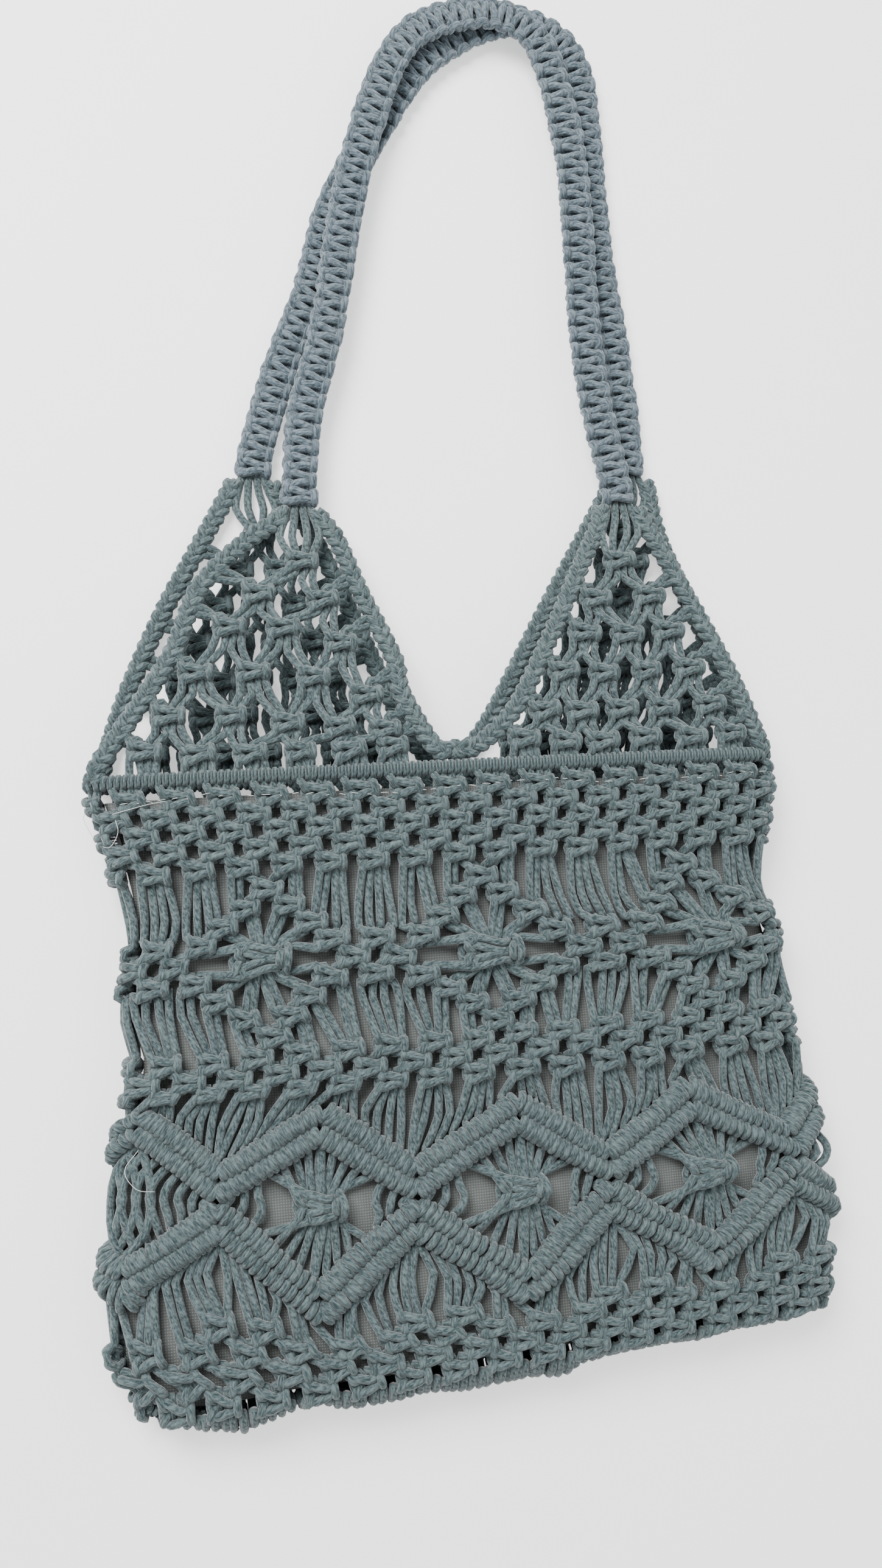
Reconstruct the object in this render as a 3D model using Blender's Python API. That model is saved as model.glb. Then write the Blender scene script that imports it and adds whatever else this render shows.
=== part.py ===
"""A lined macrame shoulder bag, lying on its back panel.

X runs across the bag, +Y towards the handles and +Z up. Two knotted panels meet along the sides and
in a scalloped hem, a corded ring edges the mouth, four open net triangles rise from the ring, and
two flat knotted straps join the tips of the triangles. A thin lining pouch hangs inside.
"""

import math

import bmesh
import bpy
from mathutils import Vector

for leftover in list(bpy.data.objects):
    bpy.data.objects.remove(leftover)

# Driving sizes, in metres
MOUTH_WIDTH = 0.336
BODY_LENGTH = 0.254
BODY_SLANT = -0.028
BAG_DEPTH = 0.033
SIDE_ROUNDNESS = 3.5
BACK_FLATTENING = 1.08
NET_THICKNESS = 0.008
CLEARANCE = 0.0003
LINING_WALL = 0.0012
LINING_SEAT = 0.0005
LINING_DROP = 0.004
CORDING_RADIUS = 0.0039
TRIANGLE_RISE = 0.128
TRIANGLE_NET_THICKNESS = 0.0068
EDGE_BRAID_RADIUS = 0.0042
BRAID_TIP_GAP = 0.0012
STRAP_WIDTH = 0.0175
STRAP_THICKNESS = 0.0085
STRAP_EDGE = 0.45
STRAP_CROWN = 0.72
STRAP_LOOP = 0.264
BACK_TIP_LEAD = 0.0175
ZIGZAG_RADIUS = 0.0042
ZIGZAG_SINK = Vector((0.0, 0.0, 0.0016))
ZIGZAG_STEPS = 2
BRAID_STEPS = 2
STRAP_STEPS = 2
HEM_DEPTH = 0.94
HEM_END_DEPTH = 0.35
HEM_CURL = 0.6
HEM_SIDES = 6
GAP_WIDTH = 0.0055
GAP_LENGTH = 0.016
GAP_CORNERS = 8
GAP_REACH = 1.5 * NET_THICKNESS

HALF_MOUTH = MOUTH_WIDTH / 2
HALF_DEPTH = BAG_DEPTH / 2
CORDING_TOP = 2 * CORDING_RADIUS + CLEARANCE
TIP_LEVEL = CORDING_TOP + TRIANGLE_RISE
BRAID_SEAT = CORDING_TOP + CLEARANCE + EDGE_BRAID_RADIUS
LAYER = max(STRAP_THICKNESS, 2 * EDGE_BRAID_RADIUS) + CLEARANCE

COTTON = (0.115, 0.150, 0.150, 1.0)
STRAP_COTTON = (0.150, 0.185, 0.195, 1.0)
LINING_CLOTH = (0.270, 0.262, 0.262, 1.0)

# Outline of the body: down and lift are shares of the body's length and the net's thickness,
# left and right are shares of half the mouth's width. Lift is below zero where strands float.
BODY_ROWS = (
    # down, left, right, lift
    (0.00, -1.000, 1.000, 0.00),
    (0.05, -0.976, 0.997, 0.00),
    (0.15, -0.937, 0.960, 0.00),
    (0.22, -0.917, 0.938, -0.22),
    (0.28, -0.911, 0.960, -0.10),
    (0.33, -0.928, 0.973, 0.00),
    (0.39, -0.943, 0.988, -0.22),
    (0.46, -0.917, 0.982, 0.00),
    (0.53, -0.935, 0.990, 0.00),
    (0.61, -0.967, 1.018, -0.18),
    (0.69, -0.988, 1.033, -0.10),
    (0.76, -0.994, 1.077, -0.10),
    (0.82, -1.012, 1.050, -0.18),
    (0.89, -1.000, 1.065, 0.00),
    (0.94, -1.000, 1.036, 0.00),
    (0.975, -0.985, 1.035, 0.00),
    (1.00, -0.945, 1.020, 0.00),
)

# Columns of the panels, from the side to the middle, as shares of the half width
PANEL_COLUMNS = (1.0, 0.99, 0.955, 0.88, 0.76, 0.60, 0.40, 0.20, 0.0)

# Lower outline of the hem: across and down as for the body, one row at each scallop's edge and middle
HEM_ROWS = (
    # across, down
    (-0.950, 1.036),
    (-0.925, 1.047),
    (-0.893, 1.067),
    (-0.798, 1.094),
    (-0.655, 1.116),
    (-0.536, 1.091),
    (-0.452, 1.083),
    (-0.369, 1.100),
    (-0.238, 1.096),
    (-0.179, 1.087),
    (-0.060, 1.096),
    (0.119, 1.087),
    (0.214, 1.093),
    (0.268, 1.071),
    (0.387, 1.063),
    (0.500, 1.057),
    (0.620, 1.059),
    (0.714, 1.045),
    (0.800, 1.046),
    (0.893, 1.039),
    (0.960, 1.031),
    (1.005, 1.012),
    (1.020, 0.990),
)

# Gaps between the strands of the front panel: across and down as for the body, then the gap's
# width and length as shares of the usual gap
FRONT_GAPS = (
    # across, down, width, length
    (-0.83, 0.215, 1.0, 1.2),
    (-0.77, 0.210, 0.9, 1.2),
    (-0.36, 0.200, 1.6, 1.0),
    (-0.22, 0.230, 1.5, 1.2),
    (-0.13, 0.225, 0.9, 1.1),
    (0.40, 0.225, 0.9, 1.4),
    (0.49, 0.230, 0.9, 1.4),
    (0.57, 0.230, 1.2, 1.2),
    (-0.41, 0.305, 1.5, 0.7),
    (-0.11, 0.330, 1.2, 0.6),
    (0.21, 0.320, 1.8, 0.6),
    (0.60, 0.330, 1.1, 0.7),
    (-0.80, 0.385, 0.9, 1.0),
    (-0.36, 0.415, 1.0, 1.0),
    (-0.23, 0.415, 1.3, 1.2),
    (0.36, 0.425, 0.9, 1.1),
    (0.45, 0.415, 0.9, 1.1),
    (-0.75, 0.565, 0.9, 0.8),
    (-0.60, 0.565, 0.9, 0.8),
    (-0.10, 0.600, 0.8, 0.8),
    (0.42, 0.610, 0.8, 0.7),
    (0.84, 0.600, 0.9, 0.9),
    (-0.83, 0.690, 1.1, 0.8),
    (-0.57, 0.720, 1.4, 0.5),
    (-0.20, 0.725, 0.8, 0.6),
    (0.27, 0.735, 0.9, 0.6),
    (0.48, 0.735, 0.9, 0.5),
    (-0.70, 0.790, 1.3, 1.1),
    (-0.185, 0.805, 1.2, 1.0),
    (0.385, 0.810, 1.2, 1.5),
    (-0.63, 0.870, 0.9, 1.0),
    (-0.28, 0.860, 0.8, 1.1),
    (0.32, 0.865, 0.8, 0.9),
    (0.51, 0.875, 0.8, 0.9),
)
BACK_GAPS = FRONT_GAPS[::2]

# Zigzags of the front panel, across and down as for the body
UPPER_ZIGZAG = (
    (-0.90, 0.575),
    (-0.70, 0.700),
    (-0.395, 0.600),
    (-0.180, 0.710),
    (0.155, 0.600),
    (0.38, 0.700),
    (0.64, 0.585),
    (0.93, 0.690),
)
LOWER_ZIGZAG = (
    (-0.92, 0.840),
    (-0.70, 0.765),
    (-0.475, 0.905),
    (-0.180, 0.770),
    (0.125, 0.890),
    (0.38, 0.765),
    (0.665, 0.890),
    (0.93, 0.790),
)

# Edges of the four net triangles, from the mouth to the tip: across is a share of half the mouth's
# width, up is a share of the way from a braid's seat on the cording to its tip
FRONT_LEFT_OUTER = (
    (-0.950, 0.00),
    (-0.835, 0.22),
    (-0.735, 0.43),
    (-0.655, 0.68),
    (-0.515, 0.87),
    (-0.422, 0.955),
    (-0.418, 1.00),
)
FRONT_LEFT_INNER = (
    (0.008, 0.00),
    (-0.030, 0.01),
    (-0.110, 0.23),
    (-0.124, 0.37),
    (-0.205, 0.65),
    (-0.260, 0.87),
    (-0.300, 0.955),
    (-0.305, 1.00),
)
FRONT_RIGHT_INNER = (
    (0.044, 0.00),
    (0.090, 0.01),
    (0.210, 0.15),
    (0.335, 0.43),
    (0.455, 0.73),
    (0.515, 0.88),
    (0.540, 0.955),
    (0.543, 1.00),
)
FRONT_RIGHT_OUTER = (
    (0.945, 0.00),
    (0.885, 0.25),
    (0.800, 0.53),
    (0.715, 0.80),
    (0.665, 0.955),
    (0.660, 1.00),
)
BACK_LEFT_OUTER = (
    (-0.945, 0.00),
    (-0.870, 0.25),
    (-0.760, 0.53),
    (-0.660, 0.74),
    (-0.556, 0.955),
    (-0.541, 1.00),
)
BACK_LEFT_INNER = (
    (0.002, 0.00),
    (-0.050, 0.03),
    (-0.120, 0.20),
    (-0.255, 0.62),
    (-0.340, 0.84),
    (-0.422, 0.96),
    (-0.428, 1.00),
)
BACK_RIGHT_INNER = (
    (0.040, 0.00),
    (0.100, 0.03),
    (0.185, 0.16),
    (0.365, 0.52),
    (0.510, 0.80),
    (0.592, 0.96),
    (0.600, 1.00),
)
BACK_RIGHT_OUTER = (
    (0.945, 0.00),
    (0.895, 0.27),
    (0.800, 0.57),
    (0.735, 0.79),
    (0.717, 0.96),
    (0.713, 1.00),
)

NET_ROWS = 6
NET_LEVELS = 27
NET_CROWDING = 1.3
NET_SEAT = 0.0008
NET_TOP_DROP = 0.004
NET_ROW_SHIFT = 0.35
NET_HOLE = (0.0062, 0.0135)

# Routes of the straps from tip to tip: across as above, up is a share of the strap's loop above its
# own tips, and lift is 0 where the strap lies flat and 1 where it lies on the other strap
FRONT_STRAP_ROUTE = (
    # across, up, lift
    (-0.361, 0.000, 1.00),
    (-0.352, 0.070, 0.95),
    (-0.325, 0.185, 0.80),
    (-0.250, 0.340, 0.95),
    (-0.170, 0.575, 1.00),
    (-0.100, 0.730, 1.00),
    (-0.003, 0.885, 1.00),
    (0.110, 0.965, 1.00),
    (0.310, 1.000, 1.00),
    (0.445, 0.965, 1.00),
    (0.500, 0.885, 1.00),
    (0.540, 0.730, 1.00),
    (0.546, 0.575, 1.00),
    (0.540, 0.345, 1.00),
    (0.556, 0.190, 1.00),
    (0.585, 0.075, 1.00),
    (0.601, 0.000, 1.00),
)
BACK_STRAP_ROUTE = (
    # across, up, lift
    (-0.4845, 0.000, 0.0),
    (-0.470, 0.054, 0.0),
    (-0.385, 0.214, 0.0),
    (-0.280, 0.374, 0.0),
    (-0.205, 0.529, 0.0),
    (-0.050, 0.704, 0.0),
    (0.100, 0.839, 0.0),
    (0.275, 0.919, 0.0),
    (0.430, 0.944, 0.0),
    (0.560, 0.899, 0.0),
    (0.612, 0.804, 0.0),
    (0.616, 0.614, 0.0),
    (0.620, 0.444, 0.0),
    (0.642, 0.284, 0.0),
    (0.655, 0.134, 0.0),
    (0.6565, 0.054, 0.0),
    (0.6565, 0.000, 0.0),
)


def new_collection(name, rendered):
    """A collection linked to the scene, left out of renders where it only holds helpers."""
    collection = bpy.data.collections.new(name)
    collection.hide_render = not rendered
    bpy.context.scene.collection.children.link(collection)
    return collection


PARTS = new_collection("macrame_bag", True)
HELPERS = new_collection("helpers", False)

ORIGIN = bpy.data.objects.new("bag_origin", None)
PARTS.objects.link(ORIGIN)


def finish_of(name, colour, roughness):
    """A Principled material of one colour."""
    material = bpy.data.materials.new(name)
    material.use_nodes = True
    shader = material.node_tree.nodes["Principled BSDF"]
    shader.inputs["Base Color"].default_value = colour
    shader.inputs["Roughness"].default_value = roughness
    shader.inputs["Metallic"].default_value = 0.0
    return material


def add_part(name, mesh, colour, roughness=0.85):
    """Makes a named part of a mesh, in its own material, on the bag's origin."""
    part = bpy.data.objects.new(name, mesh)
    mesh.materials.clear()
    mesh.materials.append(finish_of(name, colour, roughness))
    mesh.shade_smooth()
    mesh.set_sharp_from_angle(angle=math.radians(50))
    PARTS.objects.link(part)
    part.parent = ORIGIN
    return part


def add_helper(name, mesh):
    """Makes a cutter or a tool of a mesh, which isn't part of the object."""
    helper = bpy.data.objects.new(name, mesh)
    helper.hide_render = True
    helper.display_type = "WIRE"
    HELPERS.objects.link(helper)
    helper.parent = ORIGIN
    return helper


def smooth_route(points, steps):
    """Points of a smooth curve through the given ones, with this many steps to each stretch."""
    points = [Vector(point) for point in points]
    ends = [points[0] * 2 - points[1]] + points + [points[-1] * 2 - points[-2]]
    route = []
    for before, start, end, after in zip(ends, ends[1:], ends[2:], ends[3:]):
        for step in range(steps):
            t = step / steps
            bend = 2 * before - 5 * start + 4 * end - after
            swing = 3 * start - 3 * end + after - before
            route.append(start + 0.5 * t * (end - before + t * (bend + t * swing)))
    return route + [points[-1]]


def share_between(rows, share, column):
    """Reads a column of a table at a share along its first column, straight between rows."""
    for low, high in zip(rows, rows[1:]):
        if share <= high[0]:
            part = (share - low[0]) / (high[0] - low[0])
            return low[column] + (high[column] - low[column]) * part
    return rows[-1][column]


def roundness(across):
    """Height of the bag's rounded section at this share of the half width, from 0 to 1."""
    return max(0.0, 1 - abs(across) ** SIDE_ROUNDNESS) ** (1 / SIDE_ROUNDNESS)


def body_level(x, down):
    """Y of a place on the body, below the mouth. The hem slants a little across the bag."""
    return -down * BODY_LENGTH * (1 + BODY_SLANT * x / HALF_MOUTH)


def body_point(side, across, down, inset):
    """A point of the body's section, inset from its outer face. Side is 1 in front and -1 behind."""
    left = share_between(BODY_ROWS, down, 1) * HALF_MOUTH + inset
    right = share_between(BODY_ROWS, down, 2) * HALF_MOUTH - inset
    x = (left + right) / 2 + (right - left) / 2 * across
    swell = (HALF_DEPTH - inset) * roundness(across)
    return Vector((x, body_level(x, down), HALF_DEPTH + side * swell))


def outer_point(side, across, down):
    """A point of a panel's outer face: floating strands lie lower in front, the back lies flat."""
    point = body_point(side, across, down, 0.0)
    if side > 0:
        lift = share_between(BODY_ROWS, down, 3) * NET_THICKNESS * roundness(across) ** 2
        point.z += lift
    else:
        flat = HALF_DEPTH * BACK_FLATTENING
        point.z = max(0.0, HALF_DEPTH - flat * roundness(across))
    return point


def quad_grid(bm, rows):
    """Verts and faces of an open grid of points."""
    verts = [[bm.verts.new(point) for point in row] for row in rows]
    for low, high in zip(verts, verts[1:]):
        for i in range(len(low) - 1):
            bm.faces.new((low[i], low[i + 1], high[i + 1], high[i]))
    return verts


def join_rims(bm, outer, inner):
    """Faces between the edges of two grids of the same size."""
    rims = [
        (outer[0], inner[0]),
        (outer[-1], inner[-1]),
        ([row[0] for row in outer], [row[0] for row in inner]),
        ([row[-1] for row in outer], [row[-1] for row in inner]),
    ]
    for first, second in rims:
        for i in range(len(first) - 1):
            bm.faces.new((first[i], first[i + 1], second[i + 1], second[i]))


def mesh_of(bm, name):
    """Turns the faces outwards and makes a mesh."""
    bmesh.ops.recalc_face_normals(bm, faces=bm.faces)
    mesh = bpy.data.meshes.new(name)
    bm.to_mesh(mesh)
    bm.free()
    return mesh


def loft(name, sections):
    """A closed solid through sections of equal length, capped at both ends."""
    bm = bmesh.new()
    rows = [[bm.verts.new(point) for point in section] for section in sections]
    count = len(rows[0])
    for low, high in zip(rows, rows[1:]):
        for i in range(count):
            bm.faces.new((low[i], low[(i + 1) % count], high[(i + 1) % count], high[i]))
    bm.faces.new(rows[0])
    bm.faces.new(rows[-1][::-1])
    return mesh_of(bm, name)


def tube(name, points, radius, cyclic=False, roundness_steps=2):
    """A round bar along points, as a mesh with its caps welded."""
    curve = bpy.data.curves.new(name, "CURVE")
    curve.dimensions = "3D"
    curve.bevel_depth = radius
    curve.bevel_resolution = roundness_steps
    curve.use_fill_caps = not cyclic
    spline = curve.splines.new("POLY")
    spline.points.add(len(points) - 1)
    for spot, point in zip(spline.points, points):
        spot.co = (*point, 1.0)
    spline.use_cyclic_u = cyclic
    return mesh_of_curve(name, curve)


def mesh_of_curve(name, curve):
    """The evaluated mesh of a curve, closed up, with the curve removed."""
    guide = bpy.data.objects.new(name + "_guide", curve)
    HELPERS.objects.link(guide)
    graph = bpy.context.evaluated_depsgraph_get()
    mesh = bpy.data.meshes.new_from_object(guide.evaluated_get(graph))
    bpy.data.objects.remove(guide)
    bm = bmesh.new()
    bm.from_mesh(mesh)
    bmesh.ops.remove_doubles(bm, verts=bm.verts, dist=0.00001)
    bmesh.ops.recalc_face_normals(bm, faces=bm.faces)
    bm.to_mesh(mesh)
    bm.free()
    return mesh


def add_boolean(part, operation, tools):
    """A Boolean of a part with a mesh or with all of a collection's meshes."""
    modifier = part.modifiers.new(operation.lower(), "BOOLEAN")
    modifier.operation = operation
    modifier.solver = "EXACT"
    if isinstance(tools, bpy.types.Collection):
        modifier.operand_type = "COLLECTION"
        modifier.collection = tools
    else:
        modifier.object = tools


def gap_outline(width, length):
    """A pointed oval of eight corners, for a gap between strands."""
    corners = []
    half_step = math.pi / GAP_CORNERS
    for step in range(GAP_CORNERS):
        angle = (2 * step + 1) * half_step
        x = width / 2 * math.cos(angle) / math.cos(half_step)
        corners.append((x, length / 2 * math.sin(angle)))
    return corners


def gap_cutters(name, side, gaps):
    """Upright bars that cut the gaps of a panel."""
    bm = bmesh.new()
    for across, down, wide, long in gaps:
        middle = body_point(side, across, down, 0.0)
        outline = gap_outline(wide * GAP_WIDTH, long * GAP_LENGTH)
        ends = []
        for level in (middle.z - GAP_REACH, middle.z + GAP_REACH):
            ends.append([bm.verts.new((middle.x + x, middle.y + y, level)) for x, y in outline])
        for i in range(len(outline)):
            j = (i + 1) % len(outline)
            bm.faces.new((ends[0][i], ends[0][j], ends[1][j], ends[1][i]))
        bm.faces.new(ends[0][::-1])
        bm.faces.new(ends[1])
    return add_helper(name, mesh_of(bm, name))


def panel_columns():
    """Shares across a panel, from its left side to its right side."""
    return [-share for share in PANEL_COLUMNS] + list(PANEL_COLUMNS[-2::-1])


def add_panel(name, side, gaps):
    """A knotted panel: a wall that curves round to the bag's sides, with gaps cut through."""
    columns = panel_columns()
    seam = HALF_DEPTH + side * CLEARANCE / 2
    grids = []
    for inset in (0.0, NET_THICKNESS):
        rows = []
        for down, *_ in BODY_ROWS:
            row = []
            for across in columns:
                if inset:
                    point = body_point(side, across, down, inset)
                else:
                    point = outer_point(side, across, down)
                if abs(across) == 1.0:
                    point.z = seam
                row.append(point)
            rows.append(row)
        grids.append(rows)
    bm = bmesh.new()
    outer = quad_grid(bm, grids[0])
    inner = quad_grid(bm, grids[1])
    join_rims(bm, outer, inner)
    panel = add_part(name, mesh_of(bm, name), COTTON)
    if side > 0:
        rolls = bpy.data.collections.new("zigzag_rolls")
        rolls.hide_render = True
        bpy.context.scene.collection.children.link(rolls)
        for roll_name, corners in (("upper_zigzag", UPPER_ZIGZAG), ("lower_zigzag", LOWER_ZIGZAG)):
            route = []
            for start, end in zip(corners, corners[1:]):
                for step in range(ZIGZAG_STEPS):
                    place = Vector(start).lerp(Vector(end), step / ZIGZAG_STEPS)
                    route.append(outer_point(side, *place) - ZIGZAG_SINK)
            route.append(outer_point(side, *corners[-1]) - ZIGZAG_SINK)
            roll = add_helper(roll_name, tube(roll_name, route, ZIGZAG_RADIUS, roundness_steps=1))
            rolls.objects.link(roll)
        add_boolean(panel, "UNION", rolls)
    add_boolean(panel, "DIFFERENCE", gap_cutters(name + "_gaps", side, gaps))
    return panel


def add_hem():
    """The scalloped hem that closes the bottom, a bar as deep as the bag with a rounded edge."""
    sections = []
    left, right = BODY_ROWS[-1][1], BODY_ROWS[-1][2]
    for across, down in HEM_ROWS:
        x = across * HALF_MOUTH
        upper = body_level(x, 1.0) - CLEARANCE
        lower = -down * BODY_LENGTH
        inside = (2 * across - left - right) / (right - left)
        deep = HALF_DEPTH * max(roundness(inside), HEM_END_DEPTH) * HEM_DEPTH
        section = []
        for step in range(HEM_SIDES + 1):
            angle = math.pi / 2 - step * math.pi / HEM_SIDES
            y = upper + (lower - upper) * max(0.0, math.cos(angle)) ** HEM_CURL
            section.append(Vector((x, y, HALF_DEPTH + deep * math.sin(angle))))
        sections.append(section)
    return add_part("bottom_hem", loft("bottom_hem", sections), COTTON)


def cording_height(side, across):
    """Height of the mouth cording's middle line at a share of half the mouth's width."""
    half = HALF_DEPTH - CORDING_RADIUS
    return HALF_DEPTH + side * half * roundness(min(1.0, abs(across)))


def add_cording():
    """The corded ring round the mouth."""
    points = []
    columns = panel_columns()
    reach = HALF_MOUTH - CORDING_RADIUS
    for side, shares in ((1, columns), (-1, columns[-2:0:-1])):
        for across in shares:
            level = cording_height(side, across)
            points.append(Vector((reach * across, CORDING_RADIUS + CLEARANCE, level)))
    return add_part("mouth_cording", tube("mouth_cording", points, CORDING_RADIUS, True), COTTON)


def tip_level(side):
    """Y of the tips of the front or the back triangles."""
    return TIP_LEVEL if side > 0 else TIP_LEVEL + BACK_TIP_LEAD


def net_height(side, x, y):
    """Height of a triangle's middle: from the cording at the mouth to where its tip lies."""
    if side < 0:
        return LAYER / 2
    base = cording_height(side, x / HALF_MOUTH)
    rise = max(0.0, min(1.0, (y - CORDING_TOP) / TRIANGLE_RISE))
    return base + (1.5 * LAYER - base) * rise


def edge_route(side, rows):
    """Middle line of a triangle's edge braid, from the cording to its tip."""
    points = []
    for across, up in rows:
        x = across * HALF_MOUTH
        y = BRAID_SEAT + up * (tip_level(side) - BRAID_TIP_GAP - BRAID_SEAT)
        points.append(Vector((x, y, net_height(side, x, y))))
    route = smooth_route(points, BRAID_STEPS)
    for spot in route:
        spot.y = max(spot.y, BRAID_SEAT)
    return route


def add_edge_braid(name, side, rows):
    """A braid along a triangle's edge."""
    bar = tube(name, edge_route(side, rows), EDGE_BRAID_RADIUS, roundness_steps=1)
    return add_part(name, bar, COTTON)


def edge_beside(route, y, toward):
    """X of the nearest place at this level that is clear of a braid, on its left (-1) or right (1)."""
    reach = EDGE_BRAID_RADIUS + CLEARANCE
    found = []
    for low, high in zip(route, route[1:]):
        for step in range(9):
            spot = low.lerp(high, step / 8)
            off = spot.y - y
            if abs(off) < reach:
                found.append(spot.x * toward + math.sqrt(reach * reach - off * off))
    if not found:
        end = min(route, key=lambda spot: abs(spot.y - y))
        return end.x + toward * reach
    return max(found) * toward


def add_triangle(name, side, outer_rows, inner_rows):
    """An open net between two edge braids: a thin plate with a hole between each two knots."""
    left, right = edge_route(side, outer_rows), edge_route(side, inner_rows)
    if left[0].x > right[0].x:
        left, right = right, left
    bottom = CORDING_TOP + CLEARANCE
    top = min(left[-1].y, right[-1].y) - NET_TOP_DROP
    shares = [(i / NET_LEVELS) ** NET_CROWDING for i in range(NET_LEVELS + 1)]
    levels = [bottom + (top - bottom) * share for share in shares]
    outline = [(edge_beside(left, y, 1) + NET_SEAT, y) for y in levels]
    outline += [(edge_beside(right, y, -1) - NET_SEAT, y) for y in reversed(levels)]
    holes = []
    pitch = (top - bottom) / (NET_ROWS + 0.5)
    for row in range(1, NET_ROWS):
        y = bottom + pitch * (NET_ROWS - row - NET_ROW_SHIFT)
        knots = row + 1
        low = edge_beside(left, y, 1)
        high = edge_beside(right, y, -1)
        for i in range(1, knots):
            middle = low + (high - low) * i / knots
            holes.append([(middle + dx, y + dy) for dx, dy in gap_outline(*NET_HOLE)])
    curve = bpy.data.curves.new(name, "CURVE")
    curve.dimensions = "2D"
    curve.fill_mode = "BOTH"
    curve.extrude = TRIANGLE_NET_THICKNESS / 2
    for corners in [outline] + holes:
        spline = curve.splines.new("POLY")
        spline.points.add(len(corners) - 1)
        for spot, (x, y) in zip(spline.points, corners):
            spot.co = (x, y, 0.0, 1.0)
        spline.use_cyclic_u = True
    mesh = mesh_of_curve(name, curve)
    for vertex in mesh.vertices:
        vertex.co.z += net_height(side, vertex.co.x, vertex.co.y)
    return add_part(name, mesh, COTTON)


def strap_section(middle, across):
    """Eight corners of a flat strap with rounded edges."""
    wide, thick = STRAP_WIDTH / 2, STRAP_THICKNESS / 2
    corners = (
        (wide, -thick * STRAP_EDGE),
        (wide, thick * STRAP_EDGE),
        (wide * STRAP_CROWN, thick),
        (-wide * STRAP_CROWN, thick),
        (-wide, thick * STRAP_EDGE),
        (-wide, -thick * STRAP_EDGE),
        (-wide * STRAP_CROWN, -thick),
        (wide * STRAP_CROWN, -thick),
    )
    return [middle + across * x + Vector((0.0, 0.0, z)) for x, z in corners]


def add_strap(name, side, rows):
    """A flat knotted strap along its route, with its broad face up."""
    spots = []
    for across, up, lift in rows:
        spots.append((across * HALF_MOUTH, tip_level(side) + up * STRAP_LOOP, (lift + 0.5) * LAYER))
    route = smooth_route(spots, STRAP_STEPS)
    sections = []
    for i, middle in enumerate(route):
        ahead = route[min(i + 1, len(route) - 1)] - route[max(i - 1, 0)]
        if i in (0, len(route) - 1):
            ahead = Vector((0.0, 1.0 if i == 0 else -1.0, 0.0))
        across = Vector((ahead.y, -ahead.x, 0.0)).normalized()
        sections.append(strap_section(middle, across))
    return add_part(name, loft(name, sections), STRAP_COTTON)


def add_lining():
    """The lining pouch: a thin wall inside the panels, closed at the bottom and open at the mouth."""
    columns = panel_columns()[::2]
    first = LINING_DROP / BODY_LENGTH
    last = 1 - LINING_DROP / BODY_LENGTH
    outer_inset = NET_THICKNESS + LINING_SEAT
    bm = bmesh.new()
    shells = []
    for inset, end in ((outer_inset, last), (outer_inset + LINING_WALL, last - LINING_WALL / BODY_LENGTH)):
        downs = [first] + [row[0] for row in BODY_ROWS if first < row[0] < end] + [end]
        rings = []
        for down in downs:
            ring = [body_point(1, across, down, inset) for across in columns]
            ring += [body_point(-1, across, down, inset) for across in columns[-2:0:-1]]
            rings.append([bm.verts.new(point) for point in ring])
        for low, high in zip(rings, rings[1:]):
            for i in range(len(low)):
                j = (i + 1) % len(low)
                bm.faces.new((low[i], low[j], high[j], high[i]))
        front, back = rings[-1][: len(columns)], [rings[-1][0]] + rings[-1][: len(columns) - 2 : -1]
        for i in range(len(columns) - 1):
            if i == 0:
                bm.faces.new((front[0], front[1], back[1]))
            elif i == len(columns) - 2:
                bm.faces.new((front[i], front[i + 1], back[i]))
            else:
                bm.faces.new((front[i], front[i + 1], back[i + 1], back[i]))
        shells.append(rings[0])
    for i in range(len(shells[0])):
        j = (i + 1) % len(shells[0])
        bm.faces.new((shells[0][i], shells[0][j], shells[1][j], shells[1][i]))
    return add_part("lining_pouch", mesh_of(bm, "lining_pouch"), LINING_CLOTH)


def stand_on_origin():
    """Moves the whole bag so that the origin is at the middle of its lowest face's box."""
    bpy.context.view_layer.update()
    graph = bpy.context.evaluated_depsgraph_get()
    corners = []
    for part in PARTS.objects:
        if part.type == "MESH":
            mesh = part.evaluated_get(graph).data
            corners += [vertex.co.copy() for vertex in mesh.vertices]
    low = [min(corner[i] for corner in corners) for i in range(3)]
    high = [max(corner[i] for corner in corners) for i in range(3)]
    ORIGIN.location = (-(low[0] + high[0]) / 2, -(low[1] + high[1]) / 2, -low[2])


add_panel("front_panel", 1, FRONT_GAPS)
add_panel("back_panel", -1, BACK_GAPS)
add_hem()
add_cording()
add_lining()
for place, side, outer, inner in (
    ("front_left", 1, FRONT_LEFT_OUTER, FRONT_LEFT_INNER),
    ("front_right", 1, FRONT_RIGHT_OUTER, FRONT_RIGHT_INNER),
    ("back_left", -1, BACK_LEFT_OUTER, BACK_LEFT_INNER),
    ("back_right", -1, BACK_RIGHT_OUTER, BACK_RIGHT_INNER),
):
    add_triangle(place + "_net", side, outer, inner)
    add_edge_braid(place + "_outer_braid", side, outer)
    add_edge_braid(place + "_inner_braid", side, inner)
add_strap("front_strap", 1, FRONT_STRAP_ROUTE)
add_strap("back_strap", -1, BACK_STRAP_ROUTE)
stand_on_origin()
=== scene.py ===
# %% [markdown]
# A macrame bag is nothing but cord: about sixty cords hang from each side of the mouth, and every
# pattern comes from where a few of them are knotted together. So this lesson doesn't sculpt a bag
# and paint knots on it. It keeps one list of points for each cord, lets each knot add the few
# points that its cords follow, and sweeps a round tube along every list at the end.
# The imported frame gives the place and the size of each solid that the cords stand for.

# %% Load the frame
import math

import bpy
import numpy as np
from mathutils import Matrix, Vector


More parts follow.
